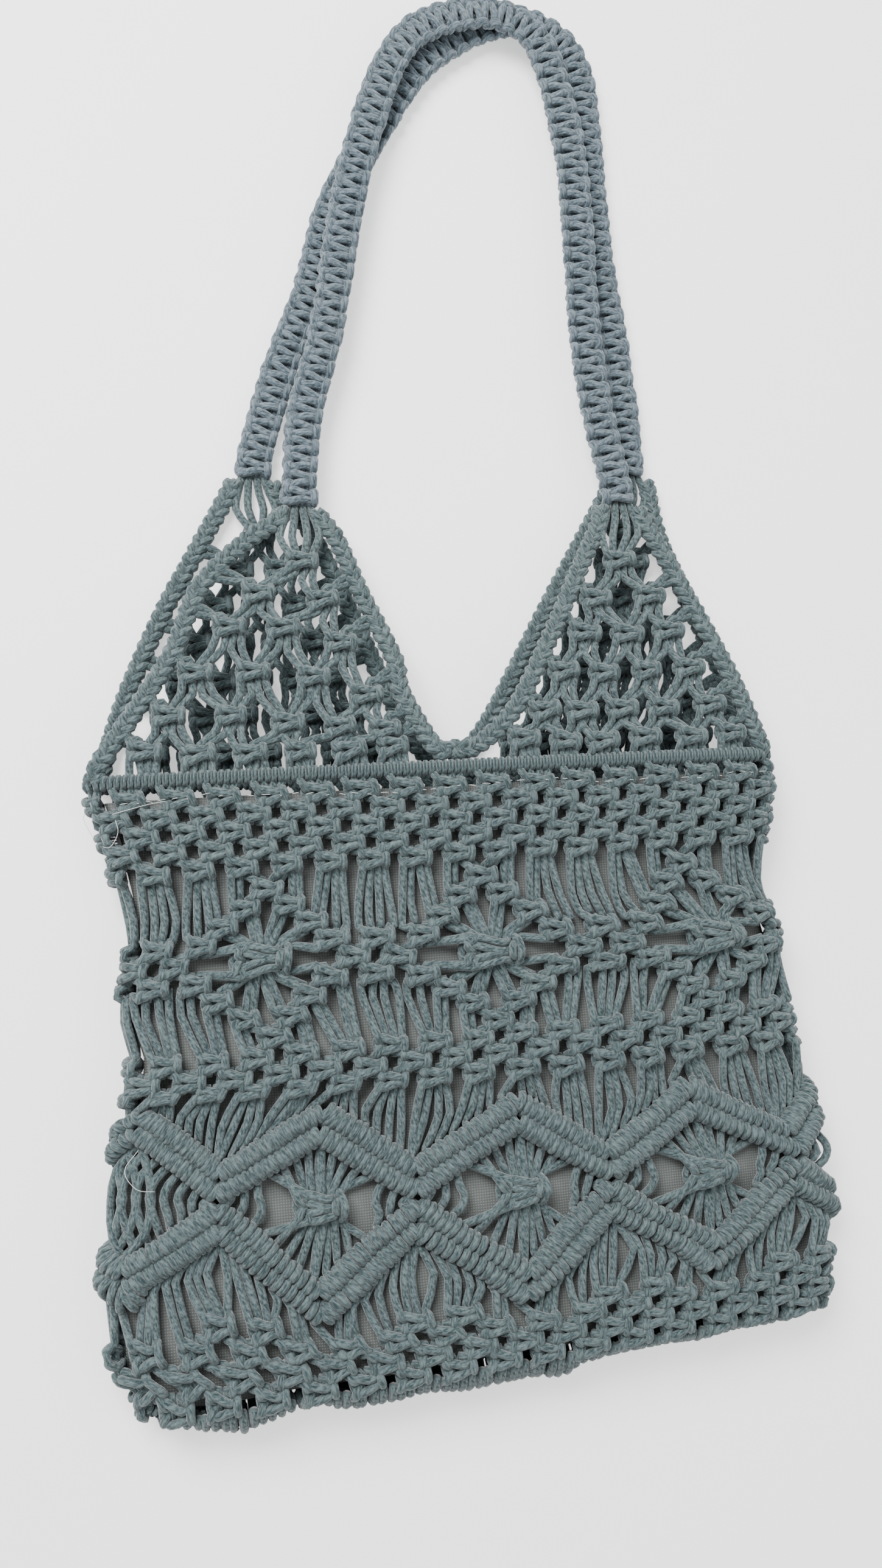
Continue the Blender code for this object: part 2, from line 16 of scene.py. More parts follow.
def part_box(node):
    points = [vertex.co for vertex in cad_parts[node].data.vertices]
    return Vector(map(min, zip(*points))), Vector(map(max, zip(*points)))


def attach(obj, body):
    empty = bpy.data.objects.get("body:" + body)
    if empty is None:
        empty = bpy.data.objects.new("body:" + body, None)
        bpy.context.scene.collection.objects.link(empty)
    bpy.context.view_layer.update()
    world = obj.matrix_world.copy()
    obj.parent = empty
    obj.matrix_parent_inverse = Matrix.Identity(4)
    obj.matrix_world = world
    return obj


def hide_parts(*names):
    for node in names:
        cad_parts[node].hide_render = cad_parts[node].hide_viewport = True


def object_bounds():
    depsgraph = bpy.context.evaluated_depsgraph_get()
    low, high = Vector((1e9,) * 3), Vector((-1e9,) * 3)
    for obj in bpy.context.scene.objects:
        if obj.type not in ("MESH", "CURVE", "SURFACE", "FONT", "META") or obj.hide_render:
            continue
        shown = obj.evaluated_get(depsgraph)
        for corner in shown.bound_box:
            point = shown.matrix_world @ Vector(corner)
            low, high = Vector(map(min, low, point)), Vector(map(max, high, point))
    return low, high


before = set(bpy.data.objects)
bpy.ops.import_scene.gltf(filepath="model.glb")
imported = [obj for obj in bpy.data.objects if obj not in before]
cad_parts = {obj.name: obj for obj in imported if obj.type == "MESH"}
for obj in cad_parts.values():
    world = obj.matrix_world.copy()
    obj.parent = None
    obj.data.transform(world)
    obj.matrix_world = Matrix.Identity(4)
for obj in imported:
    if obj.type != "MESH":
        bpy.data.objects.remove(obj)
cad_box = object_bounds()
print("solids:", len(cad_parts))

# %% [markdown]
# All the making is done in millimetres on the bag's own axes: x across from the middle of the
# mouth, y up towards the straps from just under the mouth's roll, z up from the table. The solid
# of that roll says where those axes are in the frame, so nothing has to be fitted by eye.

# %% Axes of the bag
MM = 0.001
CLEARANCE = 0.3
roll_low, roll_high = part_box("mouth_cording")
BAG_ORIGIN = np.array([(roll_low[0] + roll_high[0]) / 2, roll_low[1] - CLEARANCE * MM, roll_low[2]])


def in_frame(points):
    """Millimetres on the bag's axes to metres in the frame."""
    return BAG_ORIGIN + np.asarray(points, float) * MM


print("bag origin:", BAG_ORIGIN.round(4))

# %% [markdown]
# The photograph was taken from above and a little from the left, close enough to show perspective.
# A camera is only a place, two directions and a lens, so it is set from those.

# %% Camera
EYE = (-130.7, -80.1, 664.3)
RIGHT = Vector((0.97973, -0.07055, 0.18748))
UPWARDS = Vector((0.04680, 0.99064, 0.12824))
LENS = 32.0
SENSOR = 36.0


def add_object(name, data):
    """A new object in the scene that holds a mesh, a light or a camera."""
    thing = bpy.data.objects.new(name, data)
    bpy.context.scene.collection.objects.link(thing)
    return thing


camera_data = bpy.data.cameras.new("photo_camera")
camera_data.lens = LENS
camera_data.sensor_width = SENSOR
camera = add_object("photo_camera", camera_data)
backwards = RIGHT.cross(UPWARDS)
turn = Matrix((RIGHT, UPWARDS, backwards)).transposed().to_4x4()
camera.matrix_world = Matrix.Translation(Vector(in_frame(EYE))) @ turn
bpy.context.scene.camera = camera
print("camera at", [round(x, 3) for x in camera.location])

# %% [markdown]
# Knots read by their small shadows. A large soft light from the upper left gives each strand a
# lit side and a shaded side, a weaker one fills in, and a pale surround keeps the table bright.

# %% Lights
SURROUND_STRENGTH = 0.85
LIGHTS = (
    # name, place in millimetres, size in metres, power in watts
    ("key_light", (-700, 900, 1300), 0.9, 60),
    ("fill_light", (1000, -300, 1200), 1.4, 8),
)


def add_area_light(name, place, size, power):
    """A square soft light that looks at the middle of the mouth."""
    light = bpy.data.lights.new(name, "AREA")
    light.size = size
    light.energy = power
    spot, aim = Vector(in_frame(place)), Vector(in_frame((0, 0, 0)))
    lamp = add_object(name, light)
    lamp.location = spot
    lamp.rotation_euler = (aim - spot).to_track_quat("-Z", "Y").to_euler()


for light_facts in LIGHTS:
    add_area_light(*light_facts)
surround = bpy.data.worlds.new("studio")
surround.use_nodes = True
background = surround.node_tree.nodes["Background"]
background.inputs["Color"].default_value = (1.0, 1.0, 1.0, 1.0)
background.inputs["Strength"].default_value = SURROUND_STRENGTH
bpy.context.scene.world = surround
print("lights:", len(LIGHTS), "and the surround")

# %% [markdown]
# The bag lies on a plain pale table that glows a little, so that it stays pale round the shadows.
# Every finish here starts as a Principled material of one colour, and `set_inputs` gives a node's
# inputs either a plain value or the output of another node.

# %% Table
TABLE_SIZE = 6.0
TABLE_GAP = 0.0002
TABLE_GLOW = 0.7


def set_inputs(tree, node, inputs):
    """Gives inputs of a node, by name or number, a plain value or the output of another node."""
    for name, value in inputs.items():
        if isinstance(value, bpy.types.NodeSocket):
            tree.links.new(value, node.inputs[name])
        else:
            node.inputs[name].default_value = value


def plain_material(name, colour, roughness):
    """A Principled material of one colour, to build on, and its shader."""
    material = bpy.data.materials.new(name)
    material.use_nodes = True
    shader = material.node_tree.nodes["Principled BSDF"]
    set_inputs(material.node_tree, shader, {"Base Color": (*colour, 1.0), "Roughness": roughness})
    return material, shader


half = TABLE_SIZE / 2
table_mesh = bpy.data.meshes.new("table")
table_mesh.from_pydata([(-half, -half, 0), (half, -half, 0), (half, half, 0), (-half, half, 0)], [],
                       [(0, 1, 2, 3)])
table = add_object("table", table_mesh)
table.location = (0.0, 0.0, float(cad_box[0][2]) - TABLE_GAP)
table_white, table_shader = plain_material("table_white", (0.93, 0.93, 0.93), 0.6)
glow = {"Emission Color": (1.0, 1.0, 1.0, 1.0), "Emission Strength": TABLE_GLOW}
set_inputs(table_white.node_tree, table_shader, glow)
table_mesh.materials.append(table_white)
print("table at z", round(table.location.z, 4))

# %% [markdown]
# The cord is soft cotton, braided from thin yarns of a lighter and a darker blue-green grey. Close
# up that shows as short flecks that run round the cord at a slant. The effect is one node group
# that every cord material shares: it winds the texture round the cord with sine and cosine, so
# there is no seam, and stretches a noise along the slant. Each tube carries a map called "cord":
# u goes once round it, and v is the length along it, counted in the cord's own girths.

# %% Cotton yarn, a shared shader group
FLECK_LENGTH = 3.0
BRAID_STRANDS = 4.0
BRAID_SLOPE = 17.0
RIDGE_HEIGHT = 0.35


def add_node(tree, kind, inputs=None, **properties):
    """A new node with these properties and inputs."""
    node = tree.nodes.new(kind)
    for name, value in properties.items():
        setattr(node, name, value)
    set_inputs(tree, node, inputs or {})
    return node


def calculate(tree, operation, *values):
    """The result of a Math node on one or two values."""
    return add_node(tree, "ShaderNodeMath", dict(enumerate(values)), operation=operation).outputs[0]


def yarn_group():
    """Group "cotton yarn": flecks and braid ridges round a cord."""
    group = bpy.data.node_groups.new("cotton yarn", "ShaderNodeTree")
    for name, way, kind in (("Cord Map", "INPUT", "Vector"), ("Twist", "INPUT", "Float"),
                            ("Fleck Scale", "INPUT", "Float"), ("Fleck", "OUTPUT", "Float"),
                            ("Relief", "OUTPUT", "Float")):
        group.interface.new_socket(name, in_out=way, socket_type="NodeSocket" + kind)
    inlet, outlet = add_node(group, "NodeGroupInput"), add_node(group, "NodeGroupOutput")
    split = add_node(group, "ShaderNodeSeparateXYZ", {0: inlet.outputs["Cord Map"]})
    along = split.outputs["Y"]
    around = calculate(group, "MULTIPLY", split.outputs["X"], 2 * math.pi)
    wound = calculate(group, "ADD", around, calculate(group, "MULTIPLY", along, inlet.outputs["Twist"]))
    ring = add_node(group, "ShaderNodeCombineXYZ", {
        "X": calculate(group, "COSINE", wound),
        "Y": calculate(group, "SINE", wound),
        "Z": calculate(group, "MULTIPLY", along, FLECK_LENGTH),
    })
    fleck = add_node(group, "ShaderNodeTexNoise", {
        "Vector": ring.outputs[0],
        "Scale": inlet.outputs["Fleck Scale"],
        "Detail": 3.0,
        "Roughness": 0.65,
    })
    strands = calculate(group, "MULTIPLY", around, BRAID_STRANDS)
    slope = calculate(group, "MULTIPLY", along, BRAID_SLOPE)
    waves = [calculate(group, "SINE", calculate(group, way, strands, slope)) for way in ("SUBTRACT", "ADD")]
    ridge = calculate(group, "MULTIPLY", calculate(group, "MULTIPLY", *waves), RIDGE_HEIGHT)
    relief = calculate(group, "ADD", ridge, fleck.outputs["Fac"])
    set_inputs(group, outlet, {"Fleck": fleck.outputs["Fac"], "Relief": relief})
    return group


YARN = yarn_group()
print("shared group:", YARN.name, [item.name for item in YARN.interface.items_tree])

# %% [markdown]
# A cotton cord is matt, with a faint bright edge from loose fibres, so the material has a high
# roughness and a little sheen. Its colour comes from the flecks, and a slow noise in space lets
# some places of the bag be a little greyer or greener, as dyed cotton is.

# %% Cord materials
TWIST = 2.0
FLECK_SCALE = 1.9
SHADE_SCALE = 28.0


def mix_colours(tree, factor, first, second, blend_type="MIX"):
    """One colour laid over another as far as a factor says."""
    inputs = {"Factor": factor, "A": first, "B": second}
    return add_node(tree, "ShaderNodeMix", inputs, data_type="RGBA", blend_type=blend_type).outputs["Result"]


def relief_normal(tree, height, strength, distance):
    """The normal of a surface with this relief."""
    inputs = {"Height": height, "Strength": strength, "Distance": distance}
    return add_node(tree, "ShaderNodeBump", inputs).outputs["Normal"]


def cotton_material(name, dark, light, slow_shift):
    """Matt cotton cord: flecks between a dark and a light yarn, and a slow drift of shade."""
    material, shader = plain_material(name, light, 0.92)
    tree = material.node_tree
    cord_map = add_node(tree, "ShaderNodeUVMap", uv_map="cord").outputs[0]
    yarn_inputs = {"Cord Map": cord_map, "Twist": TWIST, "Fleck Scale": FLECK_SCALE}
    yarn = add_node(tree, "ShaderNodeGroup", yarn_inputs, node_tree=YARN)
    fleck_range = {"Value": yarn.outputs["Fleck"], "From Min": 0.36, "From Max": 0.64}
    spread = add_node(tree, "ShaderNodeMapRange", fleck_range).outputs["Result"]
    place = add_node(tree, "ShaderNodeTexCoord").outputs["Object"]
    drift = add_node(tree, "ShaderNodeTexNoise", {"Vector": place, "Scale": SHADE_SCALE, "Detail": 2.0})
    flecked = mix_colours(tree, spread, (*dark, 1.0), (*light, 1.0))
    set_inputs(tree, shader, {
        "Base Color": mix_colours(tree, drift.outputs["Fac"], flecked, (*slow_shift, 1.0), "MULTIPLY"),
        "Normal": relief_normal(tree, yarn.outputs["Relief"], 0.6, 0.0006),
        "Sheen Weight": 0.25,
        "Sheen Roughness": 0.5,
        "Specular IOR Level": 0.2,
    })
    return material


BODY_COTTON = cotton_material(
    "body_cotton", dark=(0.022, 0.038, 0.040), light=(0.122, 0.163, 0.164), slow_shift=(0.82, 0.84, 0.90))
STRAP_COTTON = cotton_material(
    "strap_cotton", dark=(0.038, 0.056, 0.066), light=(0.168, 0.212, 0.236), slow_shift=(0.84, 0.86, 0.92))
print("cord materials:", BODY_COTTON.name, STRAP_COTTON.name)

# %% [markdown]
# A cord's route is a short list of points. A Catmull-Rom curve goes through all of them with
# smooth bends, which suits knots because a knot is described by the places its cord has to pass.
# Some routes are also walked by their length, so two helpers measure a line and find places on it.

# %% Smooth lines and places on them
def smooth(points, steps):
    """Points of a smooth curve through the given ones."""
    points = np.asarray(points, float)
    ends = np.vstack([2 * points[0] - points[1], points, 2 * points[-1] - points[-2]])
    before, start, end, after = ends[:-3], ends[1:-2], ends[2:-1], ends[3:]
    stretches = []
    for step in range(steps):
        t = step / steps
        bend = 2 * before - 5 * start + 4 * end - after
        swing = 3 * start - 3 * end + after - before
        stretches.append(start + 0.5 * t * (end - before + t * (bend + t * swing)))
    return np.vstack([np.stack(stretches, axis=1).reshape(-1, 3), points[-1]])


def run_lengths(line):
    """The length of a line up to each of its points."""
    return np.concatenate([[0.0], np.cumsum(np.linalg.norm(np.diff(line, axis=0), axis=1))])


def points_at(line, lengths, spots):
    """The places on a line at these lengths."""
    return np.stack([np.interp(spots, lengths, line[:, axis]) for axis in range(3)], axis=-1)


def unit(vectors):
    """Vectors of length one."""
    return vectors / np.maximum(np.linalg.norm(vectors, axis=-1, keepdims=True), 1e-9)


test_bend = smooth([(0, 0, 0), (10, 0, 0), (10, 10, 0)], 8)
print("a corner of 20 mm, smoothed, is", round(run_lengths(test_bend)[-1], 1), "mm long")

# %% [markdown]
# A ring of corners is carried along each line without letting it spin, so that the flecks don't
# wring round at each bend. Arrays make the mesh, because a loop of bmesh calls would take minutes
# for this many strands. A `Skein` collects the cords of one piece.

# %% Sweep tubes along routes
CORD_RADIUS = 1.95
OVER_TABLE = 0.05


def steady_sides(line):
    """Two directions across the line at each point, carried along without spin."""
    ahead = unit(np.gradient(line, axis=0))
    side = np.cross(ahead[0], (0.0, 0.0, 1.0))
    if np.linalg.norm(side) < 0.1:
        side = np.cross(ahead[0], (1.0, 0.0, 0.0))
    sides = np.empty_like(line)
    for i, direction in enumerate(ahead):
        side = side - direction * (side @ direction)
        side = side / math.sqrt(side @ side)
        sides[i] = side
    return sides, np.cross(ahead, sides)


class Skein:
    """Collects swept cords and turns them into one mesh."""

    def __init__(self):
        self.verts, self.corners, self.starts, self.maps = [], [], [], []
        self.vert_count = self.corner_count = 0

    def sweep(self, route, radius=CORD_RADIUS, steps=2, sides=8):
        """Adds a round cord along a route in millimetres, lifted where it would enter the table."""
        line = smooth(route, steps)
        line[:, 2] = np.maximum(line[:, 2], radius + OVER_TABLE)
        across, over = steady_sides(line)
        angles = (np.arange(sides) * 2 * math.pi / sides)[:, None]
        ring = across[:, None] * np.cos(angles) + over[:, None] * np.sin(angles)
        self.verts.append((line[:, None] + radius * ring).reshape(-1, 3))
        rings, side = len(line), np.arange(sides)
        first = np.arange(rings - 1)[:, None] * sides
        low, next_one = first + side, first + (side + 1) % sides
        quads = np.stack([low, next_one, next_one + sides, low + sides], axis=-1).reshape(-1, 4)
        u, v = np.arange(sides + 1) / sides, run_lengths(line) / (2 * math.pi * radius)
        quad_map = np.empty((rings - 1, sides, 4, 2))
        quad_map[..., 0] = np.stack([u[:-1], u[1:], u[1:], u[:-1]], axis=-1)
        quad_map[..., 1] = np.stack([v[:-1], v[:-1], v[1:], v[1:]], axis=-1)[:, None]
        self.add_faces(quads, quad_map.reshape(-1, 2))
        for cap in (side[None, ::-1], side[None] + (rings - 1) * sides):
            self.add_faces(cap, np.zeros((sides, 2)))
        self.vert_count += rings * sides

    def add_faces(self, faces, face_map):
        """Adds faces with the same number of corners, over the corners placed last."""
        size = faces.shape[1]
        self.corners.append((faces + self.vert_count).ravel())
        self.starts.append(self.corner_count + size * np.arange(len(faces)))
        self.maps.append(face_map)
        self.corner_count += faces.size

    def piece(self, name, material):
        """The finished object."""
        verts = in_frame(np.vstack(self.verts))
        corners, starts = np.concatenate(self.corners), np.concatenate(self.starts)
        mesh = bpy.data.meshes.new(name)
        mesh.vertices.add(len(verts))
        mesh.vertices.foreach_set("co", verts.astype(np.float32).ravel())
        mesh.loops.add(len(corners))
        mesh.loops.foreach_set("vertex_index", corners.astype(np.int32))
        mesh.polygons.add(len(starts))
        mesh.polygons.foreach_set("loop_start", starts.astype(np.int32))
        mesh.update(calc_edges=True)
        mesh.validate()
        cord_map = mesh.uv_layers.new(name="cord")
        cord_map.data.foreach_set("uv", np.vstack(self.maps).astype(np.float32).ravel())
        mesh.shade_smooth()
        mesh.materials.append(material)
        print(name, "triangles:", sum(len(face.vertices) - 2 for face in mesh.polygons))
        return add_object(name, mesh)


def dress(piece, slot, *nodes):
    """The piece rides on the bag and stands for these solids, if any; slot is not used."""
    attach(piece, "root")
    if nodes:
        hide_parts(*nodes)

# %% [markdown]
# The cords of the body hang side by side all round the bag, so a column number is the natural
# measure across: 64 columns in front and 64 behind. The bag's section is a flat, rounded oval, and
# `skin` lays a point that is given by column, height and lift onto that oval. The outline's rows
# come from the photograph: the bag draws in where strands float and swells where knots sit.

# %% The skin of the bag
COLUMNS = 64
HALF_MOUTH = 168.0
HALF_DEPTH = 16.5
ROUNDNESS = 3.5
BODY_LENGTH = 254.0
SLANT = -0.028
KNOT_DEPTH = 4.3
OUTLINE = np.array((
    # y, left, right, lift
    (12, -168, 168, 0.0),
    (0, -168, 168, 0.0),
    (-13, -164, 167.5, 0.0),
    (-38, -157.4, 161.3, 0.0),
    (-56, -154, 157.6, -1.2),
    (-71, -153, 161.3, -0.6),
    (-84, -156, 163.5, 0.0),
    (-99, -158.4, 166, -1.2),
    (-117, -154, 165, 0.0),
    (-135, -157, 166.3, 0.0),
    (-155, -162.5, 171, -1.0),
    (-175, -166, 173.5, -0.6),
    (-193, -167, 181, -0.6),
    (-208, -170, 176.4, -1.0),
    (-226, -168, 179, 0.0),
    (-239, -168, 174, 0.0),
    (-248, -165.5, 173.9, 0.0),
    (-254, -158.8, 171.4, 0.0),
    (-290, -157.0, 170.5, 0.0),
))
HEM_EDGE = np.array((
    # x, y of the hem's lowest line
    (-160, -263), (-155.4, -266), (-150, -271), (-134, -278), (-110, -283.5), (-90, -277), (-76, -275),
    (-62, -279.5), (-40, -278.5), (-30, -276), (-10, -278.5), (20, -276), (36, -277.5), (45, -272),
    (65, -270), (84, -268.5), (104, -269), (120, -265.5), (134, -265.7), (150, -264), (161, -262),
    (169, -257), (171.4, -251.5),
))
HEM_CURL = 0.6

PROFILE_STEPS = 500

shares = 1 - np.linspace(1, 0, PROFILE_STEPS) ** 3
profile_x = (HALF_MOUTH - KNOT_DEPTH) * shares
profile_z = (HALF_DEPTH - KNOT_DEPTH) * (1 - shares ** ROUNDNESS) ** (1 / ROUNDNESS)
profile_arc = np.concatenate([[0.0], np.cumsum(np.hypot(np.diff(profile_x), np.diff(profile_z)))])
ARC_SHARE = profile_arc / profile_arc[-1]
COLUMN = 2 * profile_arc[-1] / COLUMNS
print("one column is", round(COLUMN, 2), "mm")

# %% [markdown]
# `skin` first turns a column into a share of the way across and a side, front or back. The oval
# gives the depth there. Below the body's length the section closes towards the hem's edge, so the
# fabric curls in, and the lift is always measured square to the surface.

# %% Lay points on the skin
def body_sides(y):
    """X of the outermost cords on the left and on the right at this height."""
    left, right = (np.interp(-y, -OUTLINE[:, 0], OUTLINE[:, side]) for side in (1, 2))
    return left + KNOT_DEPTH, right - KNOT_DEPTH


def slant_at(x):
    """How much longer or shorter the bag is at this x, because its bottom slants."""
    return 1 + SLANT * x / HALF_MOUTH


def skin(points):
    """Points (across in column widths, y, lift) laid onto the bag, in millimetres."""
    points = np.asarray(points, float)
    column, y, lift = points[:, 0] / COLUMN, points[:, 1], points[:, 2]
    turn_share = column / (COLUMNS / 2) % 4 - 1
    front = turn_share <= 1
    facing = np.where(front, 1.0, -1.0)
    t = np.where(front, turn_share, 2 - turn_share)
    share = np.sign(t) * np.interp(np.abs(t), ARC_SHARE, shares)
    rounded = np.maximum(1 - np.abs(share) ** ROUNDNESS, 0.0) ** (1 / ROUNDNESS)
    left, right = body_sides(y)
    x = (left + right) / 2 + (right - left) / 2 * share
    top, slanted = -BODY_LENGTH * slant_at(x), y * slant_at(x)
    edge = np.interp(x, HEM_EDGE[:, 0], HEM_EDGE[:, 1])
    fall = np.clip((top - slanted) / np.maximum(top - edge, 1.0), 0.0, 1.0)
    cosine = fall ** (1 / HEM_CURL)
    sine = np.sqrt(1 - cosine ** 2)
    deep = HALF_DEPTH - KNOT_DEPTH
    place = np.stack([x, np.maximum(slanted, edge), HALF_DEPTH + facing * (deep * rounded * sine)], axis=1)
    sink = np.where(front, np.interp(-y, -OUTLINE[:, 0], OUTLINE[:, 3]), 0.0)
    place[:, 2] += facing * sink * rounded ** 2
    outward_x = np.sign(share) * np.abs(share) ** (ROUNDNESS - 1) / ((right - left) / 2)
    outward_z = facing * rounded ** (ROUNDNESS - 1) / deep
    length = np.maximum(np.hypot(outward_x, outward_z), 1e-9)
    normal = np.stack([outward_x / length * sine, -cosine, outward_z / length * sine], axis=1)
    return place + normal * lift[:, None]


print("middle of the front:", skin([(COLUMNS / 2 * COLUMN, -100.0, 0.0)])[0].round(1))

# %% [markdown]
# The most used knot is the square knot, on four cords. The two in the middle, the fillers, run
# straight through. The right one passes over them to the left and back over them to the right, so
# it makes two bars. The left one passes under them, comes up on the right as one upright bump over
# the bars' ends, and goes back under. Real knots are never quite alike, so each gets its own small
# turn and shift from a seeded generator.

# %% The square knot
chance = np.random.RandomState(11)


def there_and_back(way, turn=()):
    """A cord's way down through a knot: to its middle, round its turn, and on as in a mirror."""
    return np.array([*way, *turn, *((x, -y, lift) for x, y, lift in reversed(way))])


BAR_CORD = there_and_back(
    ((5.4, 4.1, -0.8), (5.3, 2.7, 0.2), (3.9, 1.3, 2.4), (0.8, 1.7, 3.4), (-2.8, 2.9, 2.9), (-5.4, 2.9, 0.8)),
    turn=((-6.2, 0.0, -0.8),))
BUMP_CORD = there_and_back(
    ((-6.0, 4.1, 2.2), (-5.4, 2.4, 2.6), (-4.0, 1.2, 0.6), (-1.5, 1.2, -2.2), (3.0, 2.0, -2.2),
     (5.9, 3.0, 0.4), (6.0, 1.2, 3.6)))
FILLER_CORD = there_and_back(((0.0, 4.1, -0.6),), turn=((0.0, 0.0, -0.6),))
FILLER_SPREAD = 1.9
TURN_CHANCE = 0.07
SHIFT_CHANCE = 0.35
WIDTH_CHANCE = 0.04


def turned(shape, x, y, angle=0.0, wide=1.0):
    """A knot's points, widened, turned and moved to its place."""
    local = shape * (wide, 1.0, 1.0)
    c, s = math.cos(angle), math.sin(angle)
    moved = local.copy()
    moved[:, 0] = x + local[:, 0] * c - local[:, 1] * s
    moved[:, 1] = y + local[:, 0] * s + local[:, 1] * c
    return moved


def square_knot(four, x, y, loose=1.0):
    """Adds a square knot to four cords, from left to right."""
    angle = chance.normal(0, TURN_CHANCE) * loose
    x += chance.normal(0, SHIFT_CHANCE) * loose
    y += chance.normal(0, SHIFT_CHANCE) * loose
    wide = 1 + chance.normal(0, WIDTH_CHANCE) * loose
    left, low, high, right = four
    left.extend(turned(BUMP_CORD, x, y, angle, wide))
    right.extend(turned(BAR_CORD, x, y, angle, wide))
    for filler, side in ((low, -1), (high, 1)):
        filler.extend(turned(FILLER_CORD + (side * FILLER_SPREAD, 0, 0), x, y, angle, wide))


print("points of a bar and a bump:", len(BAR_CORD), len(BUMP_CORD))

# %% [markdown]
# A collecting knot is a large square knot. Two cords on each side work it, side by side, and all the
# cords between them run through it, spread out above and below like a sheaf.

# %% The collecting knot
WORKER_GAP = 3.6
WORKER_LIFT = 1.5
SHEAF_REACH = 4.6
SHEAF_WAIST = 0.8
SHEAF_FLARE = 0.35
SHEAF_LAYERS = (-1.2, 0.6)


def beside(shape, gap):
    """The route of a second cord that lies beside the first one, in the knot's plane."""
    ahead = unit(np.gradient(shape[:, :2], axis=0))
    moved = shape.copy()
    moved[:, 0] -= ahead[:, 1] * gap
    moved[:, 1] += ahead[:, 0] * gap
    return moved


def collecting_knot(group, x, y, wide, tall, spread):
    """Gathers a group of cords: its outer pairs are the workers, the others are the sheaf."""
    for shape, pair in ((BUMP_CORD, group[:2]), (BAR_CORD, group[-2:])):
        for cord, side in zip(pair, (0.5, -0.5)):
            cord.extend(turned(beside(shape * (wide, tall, WORKER_LIFT), side * WORKER_GAP), x, y))
    sheaf = group[2:-2]
    for k, cord in enumerate(sheaf):
        out = spread * (k / (len(sheaf) - 1) * 2 - 1)
        for way in (1, 0, -1):
            cord.append((x + out * (SHEAF_WAIST + SHEAF_FLARE * abs(way)), y + way * SHEAF_REACH * tall,
                         SHEAF_LAYERS[k % 2]))


print("a collecting knot reaches", 2 * SHEAF_REACH, "mm down at its plain size")

# %% [markdown]
# A cord that is hitched over another one, its leader, winds round it twice. Side by side such
# hitches make the ribbed rolls: the mouth's edge and the two rows of zigzags. The hitch is written
# for a level leader and turned to follow a slanting one.

# %% The double half hitch
ROLL_LIFT = 0.9
HITCH_CHANCE = (0.12, 0.15)
FIRST_TURN = np.array((
    (-1.6, 4.5, -2.0), (-1.6, 3.3, 0.9), (-1.6, 1.3, 3.8), (-1.6, -1.3, 3.8), (-1.6, -3.2, 0.9),
    (-0.8, -1.5, -2.0),
))
HITCH = np.vstack([FIRST_TURN, FIRST_TURN[::-1] * (-1, -1, 1)])


def hitch(cord, x, y, angle):
    """Winds a cord twice round a leader that runs at this angle."""
    x, y = (value + chance.normal(0, spread) for value, spread in zip((x, y), HITCH_CHANCE))
    cord.extend(turned(HITCH, x, y, angle))


print("points of a hitch:", len(HITCH))

# %% [markdown]
# Every row of the real bag drifts a little to one side, because a large knot pulls its neighbours
# in. The pattern is tied on an even grid, and a table says where some of its columns really lie at
# a few heights. Between those places the drift fades evenly.

# %% How the rows drift
DRIFT = (
    # the level on the even grid, then the column of a feature and its real x and y
    (-44.0, ()),
    (-80.0, ((14, -93, -79), (34, 14, -83.5), (54, 127, -84))),
    (-130.0, ()),
    (-155.0, ((3, -150, -147), (19, -70, -153), (35, 22, -157), (51, 105, -158))),
    (-190.0, ((3, -154, -176), (11, -117, -184), (19, -71, -190), (27, -28, -191), (35, 22, -192),
              (43, 63, -192), (51, 113, -193), (59, 157, -191))),
    (-231.0, ((3, -158, -213), (19, -75, -232), (35, 20, -234), (51, 111, -230))),
    (-264.0, ()),
)
STILL_COLUMNS = (76, 116)


def column_at(x, y):
    """The column that lies at x in front, at this height."""
    left, right = body_sides(y)
    share = (2 * x - left - right) / (right - left)
    t = math.copysign(float(np.interp(abs(share), shares, ARC_SHARE)), share)
    return (t + 1) * COLUMNS / 2


def drift_table():
    """For each level, how far each column is shifted across and up, fading out behind the seams."""
    every = np.arange(2 * COLUMNS + 1)
    levels, shifts = [0.0], [np.zeros((len(every), 2))]
    for level, features in DRIFT:
        moves = [(column, column_at(x, y) - column, y / slant_at(x) - level) for column, x, y in features]
        moves += [(column, 0.0, 0.0) for column in STILL_COLUMNS]
        known, *parts = zip(*moves)
        levels.append(-level)
        shifts.append(np.stack([np.interp(every, known, part, period=2 * COLUMNS) for part in parts], axis=1))
    return np.array(levels), np.array(shifts)


DRIFT_LEVELS, DRIFT_SHIFTS = drift_table()
print("largest drift in columns and mm:", np.abs(DRIFT_SHIFTS).max(axis=(0, 1)).round(2))


def drifted(points):
    """The points with the drift added."""
    points = np.array(points, float)
    column = points[:, 0] / COLUMN % (2 * COLUMNS)
    row = np.interp(-points[:, 1], DRIFT_LEVELS, np.arange(len(DRIFT_LEVELS)))
    low = np.minimum(row.astype(int), len(DRIFT_LEVELS) - 2)
    i = np.minimum(column.astype(int), 2 * COLUMNS - 1)
    part, along = (row - low)[:, None], (column - i)[:, None]
    shift = (1 - part) * ((1 - along) * DRIFT_SHIFTS[low, i] + along * DRIFT_SHIFTS[low, i + 1])
    shift += part * ((1 - along) * DRIFT_SHIFTS[low + 1, i] + along * DRIFT_SHIFTS[low + 1, i + 1])
    points[:, :2] += shift * (COLUMN, 1.0)
    return points

# %% [markdown]
# Now the body is tied from the mouth down, row by row, all round the bag. In alternating rows each
# knot takes two cords from each of the knots above it, which is what makes the small dark
# diamonds. `knot_row` ties the knots that start at the given columns.

